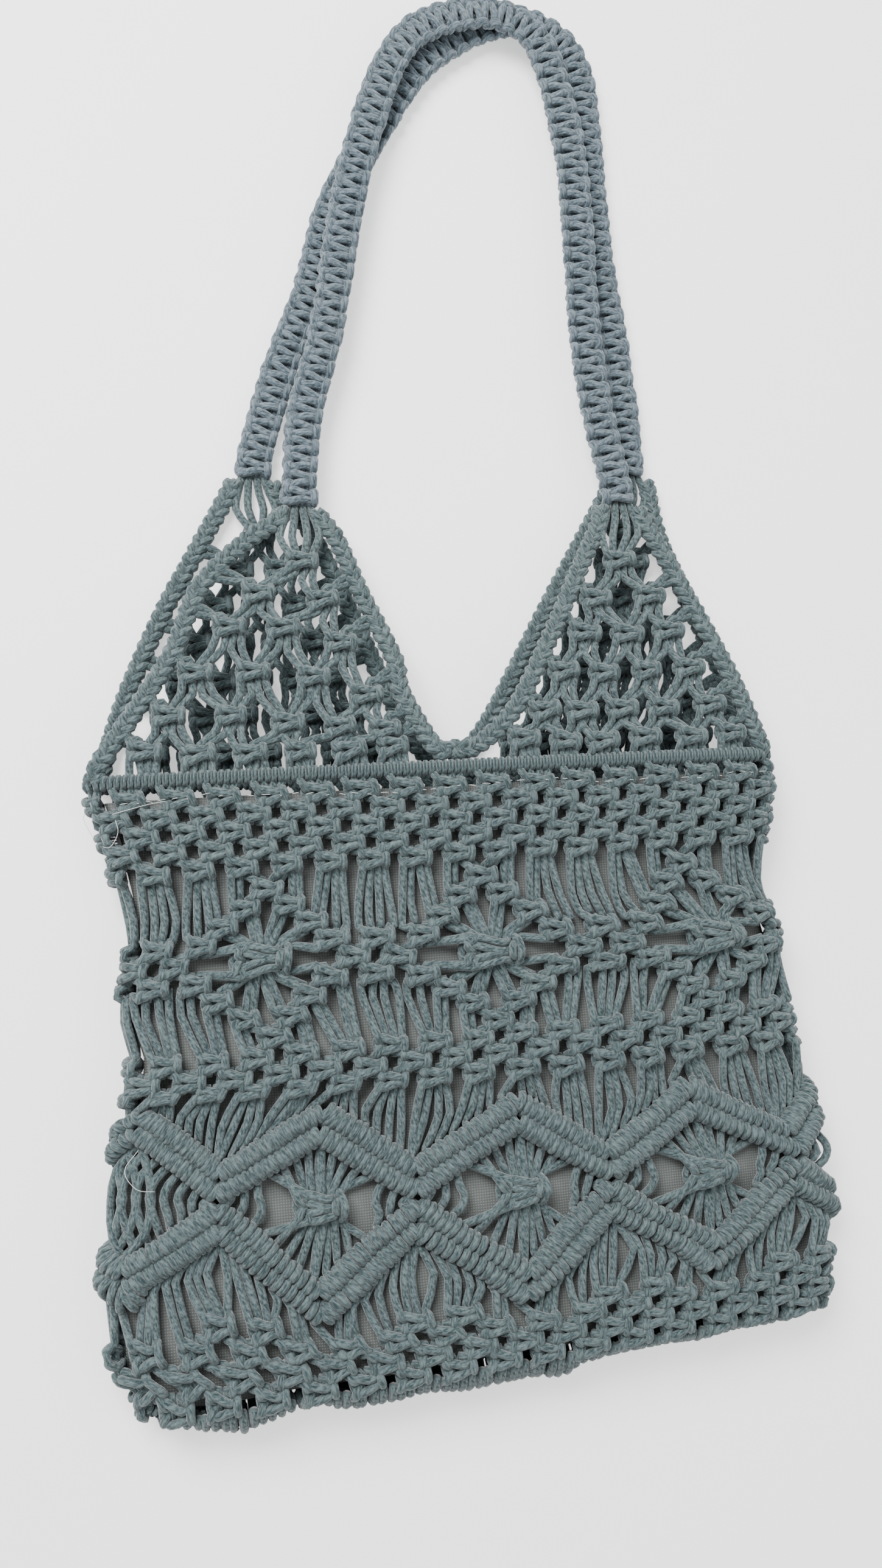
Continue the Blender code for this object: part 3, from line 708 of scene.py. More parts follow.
# %% Tie the dense rows under the mouth
DENSE_ROWS = (-5.0, -13.0, -21.0, -29.0, -37.0)
ALL_EVEN = range(0, 2 * COLUMNS, 4)
ALL_ODD = range(2, 2 * COLUMNS + 2, 4)


def cord_across(column):
    """Where a cord hangs by itself, in millimetres round the bag."""
    return (column + 0.5) * COLUMN


def knot_row(y, firsts):
    """Ties square knots on the groups of four cords that start at these columns."""
    for first in firsts:
        four = [cords[(first + k) % (2 * COLUMNS)] for k in range(4)]
        square_knot(four, (first + 2) * COLUMN, y)


def alternate_rows(levels):
    """Rows all round the bag, each tied between the knots of the row above."""
    for k, y in enumerate(levels):
        knot_row(y, ALL_EVEN if k % 2 else ALL_ODD)


cords = [[(cord_across(column), 3.0, -0.8)] for column in range(2 * COLUMNS)]
alternate_rows(DENSE_ROWS)
print("knots in the dense rows:", len(DENSE_ROWS) * len(ALL_ODD))

# %% [markdown]
# Below them, diamonds of knots stand round large collecting knots. The knots of a diamond step out
# by two columns a row and back in again, and the cords that they leave inside are gathered into
# one knot twice as large, so they fan out like rays. Between two diamonds the cords float free, and
# the lining shows.

# %% Tie the diamonds and the rays
RAY_COLUMNS = (14, 34, 54, 78, 98, 118)
BLOCK_FIRSTS = (2, 22, 42, 62, 66, 86, 106, 126)
RAY_LEVEL = -80.0
RAY_HALF = 6
# a collecting knot's width, height and spread of its sheaf
RAY_KNOT = (1.8, 1.55, 8.0)
STEP = 8.2
STEPS = 4
MIDDLE_ROWS = (-121.0, -129.0, -137.0)
FLOAT_OFFSETS = (6.0, -4.0)
FLOAT_LIFT = -0.6
FLOAT_CHANCE = (0.6, 0.8, 0.3)


def float_point(column, y):
    """Lets a cord hang free past this height, a little out of line."""
    straight = (cord_across(column), y, FLOAT_LIFT)
    cords[column].append([value + chance.normal(0, spread) for value, spread in zip(straight, FLOAT_CHANCE)])


def off_ray(column):
    """How far a column is from the nearest ray knot."""
    return min(abs((column + 0.5 - ray + COLUMNS) % (2 * COLUMNS) - COLUMNS) for ray in RAY_COLUMNS)


def diamond_half(way):
    """The half of each diamond above (1) or below (-1) its large knot."""
    for step in range(1, STEPS + 1)[::-way]:
        y = RAY_LEVEL + way * step * STEP
        firsts = {ray - 2 + side * 2 * (STEPS - step) for ray in RAY_COLUMNS for side in (-1, 1)}
        if step == 1:
            firsts |= set(BLOCK_FIRSTS)
        if step == 2:
            for column in range(2 * COLUMNS):
                if off_ray(column) > RAY_HALF:
                    for offset in FLOAT_OFFSETS:
                        float_point(column, y + offset)
        knot_row(y, sorted(firsts))


diamond_half(1)
knot_row(RAY_LEVEL, [0, COLUMNS] + [ray + side for ray in RAY_COLUMNS for side in (-10, 6)])
for ray in RAY_COLUMNS:
    collecting_knot(cords[ray - RAY_HALF:ray + RAY_HALF], ray * COLUMN, RAY_LEVEL, *RAY_KNOT)
diamond_half(-1)
alternate_rows(MIDDLE_ROWS)
print("ray knots:", len(RAY_COLUMNS))

# %% [markdown]
# The lower half is a band of eight diamonds round the bag, each sixteen cords wide and edged by two
# ribbed rolls above and two below. In each diamond the three outer cords on either side hang as
# arcs round the crossing, and the ten in the middle are gathered into a flower. The diamond at the
# left side has no flower, so there all the cords are arcs. Where a roll lies far from the knots
# above or below it, the long cords between them get one more point, and below a crossing they part
# into a slit.

# %% Tie the zigzags and the flowers
DIAMOND = 16
HALF_DIAMOND = DIAMOND // 2
OUTER_CORDS = 3
FIRST_PEAK = 3
ROLLS = (
    # y under the peak, y at the crossing
    (-150.0, -177.0),
    (-159.5, -186.0),
    (-226.0, -192.5),
    (-236.0, -202.0),
)
ROW_ABOVE = -141.0
ROW_BELOW = -240.0
FLOWER_LEVEL = -190.0
FLOWER_KNOT = (1.3, 1.25, 4.6)
ARC_BULGE = 0.32
ARC_ROOM = 5.0
SHORT_ARC = 8.0
SLIT_START = 0.7
SLIT_WIDTH = 8.0
LONG_ABOVE = -160.0
LONG_BELOW = -226.0
LIFT_ABOVE = -0.4
LIFT_BELOW = -0.5
LONG_CHANCE = 0.5
LEADER_REACH = 1.12


def roll_place(roll, share):
    """Height and angle of a roll at a share of the way from a peak (0) to a crossing (-1 or 1)."""
    peak, crossing = ROLLS[roll]
    rise = (crossing - peak) / (HALF_DIAMOND * COLUMN)
    return peak + (crossing - peak) * abs(share), math.atan(rise * math.copysign(1, share))


def hitch_on(rolls, strands):
    """Winds all the cords of a diamond onto these rolls, one after the other."""
    for column, x, place in strands:
        for roll in rolls:
            hitch(cords[column], x, *roll_place(roll, place))


def arc(column, x, place):
    """Lets an outer cord hang as an arc round the crossing."""
    top, low = roll_place(1, place)[0] - ARC_ROOM, roll_place(2, place)[0] + ARC_ROOM
    reach = (1 - abs(place)) * HALF_DIAMOND * COLUMN
    bulge = math.copysign(1.0 + ARC_BULGE * reach, place)
    bends = ((0.2, 0.75), (0.5, 1.0), (0.8, 0.75)) if top - low > SHORT_ARC else ((0.5, 1.0),)
    for part, share in bends:
        cords[column].append((x - bulge * share, top + (low - top) * part, 0.5))


def tie_diamond(peak_column, flower):
    """All the knots of one diamond, from its upper rolls to its lower ones."""
    places = [(j + 0.5) / HALF_DIAMOND - 1 for j in range(DIAMOND)]
    strands = [((peak_column - HALF_DIAMOND + j) % (2 * COLUMNS), (peak_column + place * HALF_DIAMOND) * COLUMN,
                place) for j, place in enumerate(places)]
    for column, x, place in strands:
        start = roll_place(0, place)[0]
        if start < LONG_ABOVE:
            cords[column].append((x + chance.normal(0, LONG_CHANCE), (start + ROW_ABOVE) / 2 + 1, LIFT_ABOVE))
    hitch_on((0, 1), strands)
    for strand in strands[:OUTER_CORDS] + strands[-OUTER_CORDS:] if flower else strands:
        arc(*strand)
    if flower:
        gathered = [cords[column] for column, _, _ in strands[OUTER_CORDS:-OUTER_CORDS]]
        collecting_knot(gathered, peak_column * COLUMN, FLOWER_LEVEL, *FLOWER_KNOT)
    hitch_on((2, 3), strands)
    for column, x, place in strands:
        end = roll_place(3, place)[0]
        if end > LONG_BELOW:
            slit = math.copysign(max(0.0, abs(place) - SLIT_START) * SLIT_WIDTH, place)
            off = chance.normal(0, LONG_CHANCE) - slit
            cords[column].append((x + off, (end + ROW_BELOW) / 2, LIFT_BELOW))


def leader(peak_column, peak, crossing, way):
    """The cord inside one slope of a roll, from its peak to just past the crossing."""
    return [((peak_column + way * share * HALF_DIAMOND) * COLUMN, peak + (crossing - peak) * share, ROLL_LIFT)
            for share in np.linspace(0.0, LEADER_REACH, 9)]


leaders = []
for k in range(2 * COLUMNS // DIAMOND):
    peak_column = FIRST_PEAK + k * DIAMOND
    tie_diamond(peak_column, flower=k > 0)
    leaders += [leader(peak_column, *roll, way) for roll in ROLLS for way in (-1, 1)]
print("leaders:", len(leaders))

# %% [markdown]
# Four more rows of knots close the fabric above the hem. The first of them leaves out the places
# where a zigzag still reaches down.

# %% Tie the bottom rows
FIRST_BOTTOM_ROW = -241.0
BOTTOM_ROWS = (-248.7, -256.3, -263.8)
CORD_ENDS = ((-271.0, -1.0), (-276.0, -2.0))

peaks = range(FIRST_PEAK - DIAMOND, 2 * COLUMNS + DIAMOND, DIAMOND)
clear_of_peaks = [first for first in ALL_EVEN if min(abs(first + 2 - peak) for peak in peaks) > 3]
knot_row(FIRST_BOTTOM_ROW, clear_of_peaks)
alternate_rows(BOTTOM_ROWS)
for column, cord in enumerate(cords):
    cord += [(cord_across(column), y, lift) for y, lift in CORD_ENDS]
print("points on a body cord:", min(map(len, cords)), "to", max(map(len, cords)))

# %% [markdown]
# The routes are complete, so the tubes can be swept. The front takes more steps and rounder cords
# than the back, which mostly lies on the table.

# %% Sweep the body's cords
LEADER_RADIUS = 1.5


def sweep_body(name, columns, steps, sides, node):
    """One piece of the body's cords, with the leaders whose middle lies in it."""
    skein = Skein()
    for column in columns:
        skein.sweep(skin(drifted(cords[column])), CORD_RADIUS, steps, sides)
    for route in leaders:
        if int(route[len(route) // 2][0] / COLUMN) % (2 * COLUMNS) in columns:
            skein.sweep(skin(drifted(route)), LEADER_RADIUS, 1, 6)
    dress(skein.piece(name, BODY_COTTON), "cotton_cord", node)


for part, columns in (("left", range(0, 21)), ("middle", range(21, 43)), ("right", range(43, COLUMNS))):
    sweep_body("front_knots_" + part, columns, 2, 8, "front_panel")
sweep_body("back_knots", range(COLUMNS, 2 * COLUMNS), 1, 6, "back_panel")

# %% [markdown]
# The mouth's roll is one leader that goes round the whole mouth under tight turns of cord. The
# turns are drawn one by one, each a nearly closed ring round the leader, a little out of true.

# %% Wind the mouth's roll
ROLL_RADIUS = 2.35
ROLL_LEVEL = 4.2
WRAP_RADIUS = 1.55
WRAP_PITCH = 3.05
WRAP_LEAN = 0.5
WRAP_LEAN_CHANCE = 0.15
MOUTH_LEADER_RADIUS = 1.3


def wind(skein, line, up, radius, wrap, pitch):
    """Winds tight turns of cord round a line; up is the direction that crosses it everywhere."""
    lengths = run_lengths(line)
    turns = int(lengths[-1] / pitch)
    angles = np.linspace(-math.pi, math.pi, 10)[:, None]
    for k in range(turns):
        along = (k + 0.5) * lengths[-1] / turns
        centre = points_at(line, lengths, along)
        ahead = unit(points_at(line, lengths, along + 1) - centre)
        outward = unit(np.cross(ahead, up))
        lean = chance.normal(WRAP_LEAN, WRAP_LEAN_CHANCE)
        ring = centre + radius * (np.cos(angles) * outward + np.sin(angles) * up)
        skein.sweep(ring + ahead * (lean * np.sin(angles)), wrap, 1, 7)


around = np.arange(0, 2 * COLUMNS + 0.5, 0.5) * COLUMN
mouth_line = skin(np.stack([around, 0 * around, 0 * around], axis=1))
mouth_line[:, 1] = ROLL_LEVEL
mouth = Skein()
mouth.sweep(mouth_line, MOUTH_LEADER_RADIUS, 1, 6)
wind(mouth, mouth_line, np.array((0.0, 1.0, 0.0)), ROLL_RADIUS, WRAP_RADIUS, WRAP_PITCH)
dress(mouth.piece("mouth_roll", BODY_COTTON), "cotton_cord", "mouth_cording")

# %% [markdown]
# The hem is a row of upright wraps that start under the last knots in front, bend round the
# scalloped edge and end under the last knots behind. They lie closer than the cords above them.

# %% Wrap the hem
HEM_PITCH = 4.1
HEM_CORD = 2.0
HEM_LEVELS = (-267.0, -270.0, -273.5, -278.0, -284.0, -292.0)
HEM_LIFT = 0.6
HEM_SINK = 2.8


def hem_wrap(across):
    """One wrap, from under the last knots in front round the edge to the same place behind."""
    lean = chance.normal(0, 1.0)
    front, behind = [], []
    for level in HEM_LEVELS:
        share = (level - HEM_LEVELS[0]) / (HEM_LEVELS[-1] - HEM_LEVELS[0])
        lift = HEM_LIFT - HEM_SINK * share
        front.append((across * COLUMN + lean * (1 - share), level, lift))
        behind.append(((2 * COLUMNS - across) * COLUMN - lean * 0.5, level, lift))
    return np.vstack([skin(front), skin(behind[::-1])[1:]])


hem = Skein()
hem_count = int(2 * profile_arc[-1] / HEM_PITCH)
for k in range(1, hem_count):
    hem.sweep(hem_wrap(k * COLUMNS / hem_count), HEM_CORD)

# %% [markdown]
# A tight seam of fine turns, wound like the mouth's roll, runs inside the wraps just above the
# scalloped edge and ties their lower ends together.

# %% Wind the hem's seam
SEAM_RISE = 3.8
SEAM_RADIUS = 2.3
SEAM_WRAP = 1.4
SEAM_PITCH = 2.9

seam_x = np.linspace(HEM_EDGE[0, 0] + 3, HEM_EDGE[-1, 0] - 3, 120)
seam_y = np.interp(seam_x, HEM_EDGE[:, 0], HEM_EDGE[:, 1]) + SEAM_RISE
seam_line = np.stack([seam_x, seam_y, np.full_like(seam_x, HALF_DEPTH + 1.0)], axis=1)
wind(hem, seam_line, np.array((0.0, 0.0, 1.0)), SEAM_RADIUS, SEAM_WRAP, SEAM_PITCH)
dress(hem.piece("hem_wraps", BODY_COTTON), "cotton_cord", "bottom_hem")

# %% [markdown]
# Each triangle above the mouth is an open net of the same square knots. A row has one knot more than
# the row above it: the outermost cords of each new row come in from the braid along the edge. The
# front nets have their knots where the photograph shows them, and the ones behind are spaced evenly.

# %% Tables of the triangles
TRIANGLE_RISE = 128.0
ROLL_TOP = 8.1
TIP = ROLL_TOP + TRIANGLE_RISE
BACK_TIP_LEAD = 17.5
LAYER = 8.8
BRAID_SEAT = 12.6
BRAID_TIP_GAP = 1.2
EDGES = {
    # across as a share of half the mouth, up as a share of the way from the seat to the tip
    "front_left_outer_braid": ((-0.950, 0.00), (-0.835, 0.22), (-0.735, 0.43), (-0.655, 0.68), (-0.515, 0.87),
                               (-0.422, 0.955), (-0.418, 1.00)),
    "front_left_inner_braid": ((0.024, 0.00), (-0.030, 0.01), (-0.110, 0.23), (-0.124, 0.37), (-0.205, 0.65),
                               (-0.260, 0.87), (-0.300, 0.955), (-0.305, 1.00)),
    "front_right_inner_braid": ((0.020, 0.00), (0.090, 0.01), (0.210, 0.15), (0.335, 0.43), (0.455, 0.73),
                                (0.515, 0.88), (0.540, 0.955), (0.543, 1.00)),
    "front_right_outer_braid": ((0.945, 0.00), (0.885, 0.25), (0.800, 0.53), (0.715, 0.80), (0.665, 0.955),
                                (0.660, 1.00)),
    "back_left_outer_braid": ((-0.945, 0.00), (-0.870, 0.25), (-0.760, 0.53), (-0.660, 0.74), (-0.556, 0.955),
                              (-0.541, 1.00)),
    "back_left_inner_braid": ((0.002, 0.00), (-0.050, 0.03), (-0.120, 0.20), (-0.255, 0.62), (-0.340, 0.84),
                              (-0.422, 0.96), (-0.428, 1.00)),
    "back_right_inner_braid": ((0.040, 0.00), (0.100, 0.03), (0.185, 0.16), (0.365, 0.52), (0.510, 0.80),
                               (0.592, 0.96), (0.600, 1.00)),
    "back_right_outer_braid": ((0.945, 0.00), (0.895, 0.27), (0.800, 0.57), (0.735, 0.79), (0.717, 0.96),
                               (0.713, 1.00)),
}
FRONT_LEFT_KNOTS = (
    ((-62, 108),),
    ((-83, 92), (-53, 88)),
    ((-98, 75), (-73, 74), (-45, 67)),
    ((-114, 54), (-87.5, 54), (-60, 50), (-36, 41)),
    ((-127, 34), (-99, 32), (-73, 29), (-49, 25), (-28, 24)),
    ((-139, 17), (-115, 15.5), (-91, 14.5), (-68, 14.5), (-46, 14.5), (-26, 15)),
)
FRONT_RIGHT_KNOTS = (
    ((98, 106),),
    ((83, 86), (110, 86)),
    ((75, 68), (96.5, 68), (118, 68)),
    ((62, 49), (82, 48), (104, 48), (127, 49)),
    ((50, 30), (68, 29), (89, 29), (110, 29), (134, 30)),
    ((38, 15), (58, 14.5), (77, 14.5), (99, 14.5), (122, 14.5), (143, 15)),
)

print("edges:", len(EDGES), "knots of the front nets:", sum(map(len, FRONT_LEFT_KNOTS + FRONT_RIGHT_KNOTS)))

# %% [markdown]
# In front the triangles slope: they start on top of the mouth's roll and come down to the straps,
# which lie one layer over the strap behind. The triangles behind lie flat on the table.

# %% Lay points on a triangle
def net_level(side, x, y):
    """Height of a triangle's middle over the table: it falls from the mouth's roll to the straps."""
    if side == "back":
        return LAYER / 2 + 0.2
    share = min(1.0, abs(x) / HALF_MOUTH)
    base = HALF_DEPTH + (HALF_DEPTH - 3.9) * max(0.0, 1 - share ** ROUNDNESS) ** (1 / ROUNDNESS)
    rise = min(1.0, max(0.0, (y - ROLL_TOP) / TRIANGLE_RISE))
    return base + (1.5 * LAYER - base) * rise


def tip_of(side):
    """Y of a triangle's tip."""
    return TIP if side == "front" else TIP + BACK_TIP_LEAD


def laid(side, points):
    """Points (x, y, lift) laid onto a triangle."""
    return np.array([(x, y, net_level(side, x, y) + lift) for x, y, lift in points])


def edge_line(name):
    """Middle line of an edge braid, smooth and flat."""
    side = name.split("_")[0]
    reach = tip_of(side) - BRAID_TIP_GAP - BRAID_SEAT
    points = [(across * HALF_MOUTH, BRAID_SEAT + up * reach, 0.0) for across, up in EDGES[name]]
    return smooth(points, 8)


def edge_at(name, y):
    """X of an edge braid at this height."""
    line = edge_line(name)
    return float(np.interp(y, line[:, 1], line[:, 0]))

# %% [markdown]
# A knot of a net takes two cords from each of the two knots above it. At the ends of a row the
# missing pair comes out of the braid, and at the tip all four come from the strap.

# %% Tie the nets
BACK_ROWS = 7
EDGE_ROOM = 14
LOWEST_ROW = 18.0
ROWS_SPARE = 46.0
PAIR_GAP = 4.0
ENTRY_RISE = 13.0
ENTRY_REACH = 6.5
ENTRY_ABOVE = 6.5
ENTRY_BEND = (0.6, 3.0)
TIP_START = 2.0
TIP_SPREAD = 1.6
TIP_DROP = 8.0
KNOT_TOP = 4.1
TIP_CORDS = (-4.8, -1.7, 1.7, 4.8)
ENTRIES = (-5.6, -1.9, 1.9, 5.4)
BOWS = (-3.0, -1.4, 1.4, 3.0)
LONG_STRAND = 9.0
NET_LOOSE = 1.2


def even_knots(left, right):
    """Evenly spaced knots between two edges of a back triangle, one more in each row."""
    table = []
    for row in range(1, BACK_ROWS + 1):
        y = LOWEST_ROW + (tip_of("back") - ROWS_SPARE) * (BACK_ROWS - row) / (BACK_ROWS - 1)
        low, high = edge_at(left, y) + EDGE_ROOM, edge_at(right, y) - EDGE_ROOM
        table.append([(low + (high - low) * (k + 0.5) / row, y) for k in range(row)])
    return table


def edge_cords(edge, x, y, way):
    """Two new cords that come out of an edge braid above a knot and bend down to it."""
    pair = []
    for gap in (0.0, PAIR_GAP) if way > 0 else (PAIR_GAP, 0.0):
        start = min(y + ENTRY_RISE - gap, edge_line(edge)[-1][1])
        out = edge_at(edge, start)
        near = x - way * (ENTRY_REACH - gap)
        share, drop = ENTRY_BEND
        bend = (out + (near - out) * share, start - drop, 0.3)
        pair.append([(out, start, -0.5), bend, (near, y + ENTRY_ABOVE, 0.2)])
    return pair


def net(name, left_edge, right_edge, rows):
    """One triangle: cords from the tip and from the edges, tied row by row down to the mouth."""
    side = name.split("_")[0]
    tip_y = tip_of(side)
    tip_x = (edge_at(left_edge, tip_y) + edge_at(right_edge, tip_y)) / 2
    above, strands = [], {}
    for row in rows:
        ties = []
        for j, (x, y) in enumerate(row):
            if above:
                four = above[j - 1][2:] if j else edge_cords(left_edge, x, y, 1)
                four = four + (above[j][:2] if j < len(above) else edge_cords(right_edge, x, y, -1))
            else:
                four = [[(tip_x + dx, tip_y + TIP_START, -1.0),
                         (tip_x + TIP_SPREAD * dx, tip_y - TIP_DROP, 0.0)] for dx in TIP_CORDS]
            for cord, entry, bow in zip(four, ENTRIES, BOWS):
                if cord[-1][1] - y > LONG_STRAND:
                    cord.append(((cord[-1][0] + x + entry) / 2 + bow, (cord[-1][1] + y + KNOT_TOP) / 2, 0.4))
            square_knot(four, x, y, NET_LOOSE)
            ties.append(four)
            strands.update((id(cord), cord) for cord in four)
        above = ties
    for cord in (cord for four in above for cord in four):
        x = cord[-1][0]
        cord += [(x + chance.normal(0, 0.5), 7.5, -0.5), (x, 3.5, -1.0)]
    skein = Skein()
    for cord in strands.values():
        skein.sweep(laid(side, cord))
    dress(skein.piece(name + "_knots", BODY_COTTON), "cotton_cord", name)


net("front_left_net", "front_left_outer_braid", "front_left_inner_braid", FRONT_LEFT_KNOTS)
net("front_right_net", "front_right_inner_braid", "front_right_outer_braid", FRONT_RIGHT_KNOTS)
for place, left_edge, right_edge in (("back_left", "outer", "inner"), ("back_right", "inner", "outer")):
    edges = [f"{place}_{edge}_braid" for edge in (left_edge, right_edge)]
    net(place + "_net", *edges, even_knots(*edges))

# %% [markdown]
# The edges are three-strand plaits. Each strand swings from side to side and passes over at twice
# that pace, a third of a turn behind the one before it. Two sine waves are all a plait needs.

# %% Plait the edges
PLAIT_LENGTH = 16.0
PLAIT_SWING = 2.9
PLAIT_LIFT = 1.5
PLAIT_RADIUS = 2.1
PLAIT_STEP = 1.9
PLAIT_FOOT_OUT = 2.5
PLAIT_FOOT_LEVEL = 5.0


def plait(name):
    """An edge braid along its line; the outer ones run on down to the mouth's roll."""
    line = edge_line(name)
    if "outer" in name:
        foot = (line[0, 0] + math.copysign(PLAIT_FOOT_OUT, line[0, 0]), PLAIT_FOOT_LEVEL, 0.0)
        line = np.vstack([foot, line])
    line = laid(name.split("_")[0], line)
    lengths = run_lengths(line)
    spots = np.arange(0.0, lengths[-1], PLAIT_STEP)
    middle = points_at(line, lengths, spots)
    ahead = unit(np.gradient(middle, axis=0))
    across = unit(np.cross(ahead, (0.0, 0.0, 1.0)))
    over = np.cross(across, ahead)
    skein = Skein()
    for strand in range(3):
        phase = 2 * math.pi * (spots / PLAIT_LENGTH + strand / 3)[:, None]
        route = middle + across * (PLAIT_SWING * np.sin(phase)) + over * (PLAIT_LIFT * np.sin(2 * phase))
        skein.sweep(route, PLAIT_RADIUS, 1)
    dress(skein.piece(name + "_plait", BODY_COTTON), "cotton_cord", name)


for name in EDGES:
    plait(name)

# %% [markdown]
# A strap is one long row of square knots over four fillers. With no space between the knots the
# bars read as the rungs of a ladder and the bumps as a chain along each edge.

# %% Knot the straps
STRAP_LOOP = 264.0
STRAP_PITCH = 8.5
STRAP_WIDE = 1.13
STRAP_CORD = 2.0
STRAP_FILLERS = (-3.9, -1.4, 1.4, 3.9)
STRAP_FILLER_RADIUS = 1.6
STRAP_FILLER_STEP = 5.0
STRAP_WIDTH_CHANCE = 0.03
STRAP_TURN_CHANCE = 0.04
STRAP_ROUTES = {
    # across as a share of half the mouth, up as a share of the loop, lift in layers
    "front_strap": ((-0.361, 0.000, 1.00), (-0.352, 0.070, 0.95), (-0.325, 0.185, 0.80), (-0.250, 0.340, 0.95),
                    (-0.170, 0.575, 1.00), (-0.100, 0.730, 1.00), (-0.003, 0.885, 1.00), (0.110, 0.965, 1.00),
                    (0.310, 1.000, 1.00), (0.445, 0.965, 1.00), (0.500, 0.885, 1.00), (0.540, 0.730, 1.00),
                    (0.546, 0.575, 1.00), (0.540, 0.345, 1.00), (0.556, 0.190, 1.00), (0.585, 0.075, 1.00),
                    (0.601, 0.000, 1.00)),
    "back_strap": ((-0.4845, 0.000, 0.0), (-0.470, 0.054, 0.0), (-0.385, 0.214, 0.0), (-0.280, 0.374, 0.0),
                   (-0.205, 0.529, 0.0), (-0.050, 0.704, 0.0), (0.100, 0.839, 0.0), (0.275, 0.919, 0.0),
                   (0.430, 0.944, 0.0), (0.560, 0.899, 0.0), (0.612, 0.804, 0.0), (0.616, 0.614, 0.0),
                   (0.620, 0.444, 0.0), (0.642, 0.284, 0.0), (0.655, 0.134, 0.0), (0.6565, 0.054, 0.0),
                   (0.6565, 0.000, 0.0)),
}


def strap(name):
    """A flat knotted strap along its route."""
    side = name.split("_")[0]
    route = [(across * HALF_MOUTH, tip_of(side) + up * STRAP_LOOP, (lift + 0.5) * LAYER + 0.1)
             for across, up, lift in STRAP_ROUTES[name]]
    line = smooth(route, 12)
    lengths = run_lengths(line)
    directions = unit(np.gradient(line, axis=0))
    knots = round(lengths[-1] / STRAP_PITCH)
    pitch = lengths[-1] / knots

    def on_strap(points):
        """Points (across, along, lift) laid along the strap."""
        points = np.asarray(points, float)
        ahead = unit(points_at(directions, lengths, points[:, 1]))
        across = unit(np.cross(ahead, (0.0, 0.0, 1.0)))
        middle = points_at(line, lengths, points[:, 1])
        return middle + across * points[:, :1] + np.cross(across, ahead) * points[:, 2:]

    workers = [], []
    for knot in range(knots):
        wide = STRAP_WIDE * (1 + chance.normal(0, STRAP_WIDTH_CHANCE))
        for worker, shape in zip(workers, (BAR_CORD, BUMP_CORD)):
            angle = chance.normal(0, STRAP_TURN_CHANCE)
            worker.extend(turned(shape[1:-1] * (1, -1, 1), 0.0, (knot + 0.5) * pitch, angle, wide))
    skein = Skein()
    for worker in workers:
        skein.sweep(on_strap(worker), STRAP_CORD)
    for x in STRAP_FILLERS:
        filler = [(x, along, -0.1) for along in np.arange(0.5, lengths[-1], STRAP_FILLER_STEP)]
        skein.sweep(on_strap(filler), STRAP_FILLER_RADIUS, 1, 6)
    dress(skein.piece(name + "_knots", STRAP_COTTON), "strap_cord", name)
    print(name, "is", round(lengths[-1]), "mm long with", knots, "knots")


for name in STRAP_ROUTES:
    strap(name)

# %% [markdown]
# The lining is a pouch of light grey woven cloth just inside the knots. It shows wherever cords
# float, and its grey is painted darker than the cloth's own, as painted shade between the cords.
# Its weave is two crossing sets of fine waves, as height and as painted shade in the grooves.

# %% Lining cloth
def lining_material():
    """Plain woven cloth, grey and slightly smooth, with painted shade between the cords and in the weave."""
    material, shader = plain_material("lining_weave_painted_shade", (0.22, 0.23, 0.22), 0.75)
    tree = material.node_tree
    place = add_node(tree, "ShaderNodeTexCoord").outputs["Object"]
    wave_inputs = {"Vector": place, "Scale": 260.0, "Distortion": 1.2, "Detail": 1.0}
    waves = [add_node(tree, "ShaderNodeTexWave", wave_inputs, wave_type="BANDS", bands_direction=direction)
             for direction in ("X", "Y")]
    weave = calculate(tree, "MULTIPLY", *(wave.outputs["Fac"] for wave in waves))
    set_inputs(tree, shader, {
        # painted shade: both greys lie below the cloth's own grey, for the shade between the cords, and the
        # weave's grooves are darker still
        "Base Color": mix_colours(tree, weave, (0.085, 0.094, 0.090, 1.0), (0.165, 0.178, 0.170, 1.0)),
        "Normal": relief_normal(tree, weave, 0.5, 0.0003),
    })
    return material


LINING_WEAVE_PAINTED_SHADE = lining_material()
print("lining material:", LINING_WEAVE_PAINTED_SHADE.name)

# %% [markdown]
# The pouch has an outer and an inner wall a millimetre apart that meet at the rim, and it is closed
# at the bottom. Two slow waves keep the cloth from lying dead flat.

# %% Lining pouch
LINING_TOP = -4.0
LINING_BOTTOM = -266.0
LINING_DEPTH = -5.2
LINING_WALL = 1.0
LINING_ROWS = 50


def mesh_object(name, verts, faces, material):
    """An object from corners in millimetres and faces of corner numbers."""
    mesh = bpy.data.meshes.new(name)
    mesh.from_pydata(in_frame(verts).tolist(), [], faces)
    mesh.validate()
    mesh.materials.append(material)
    return add_object(name, mesh)


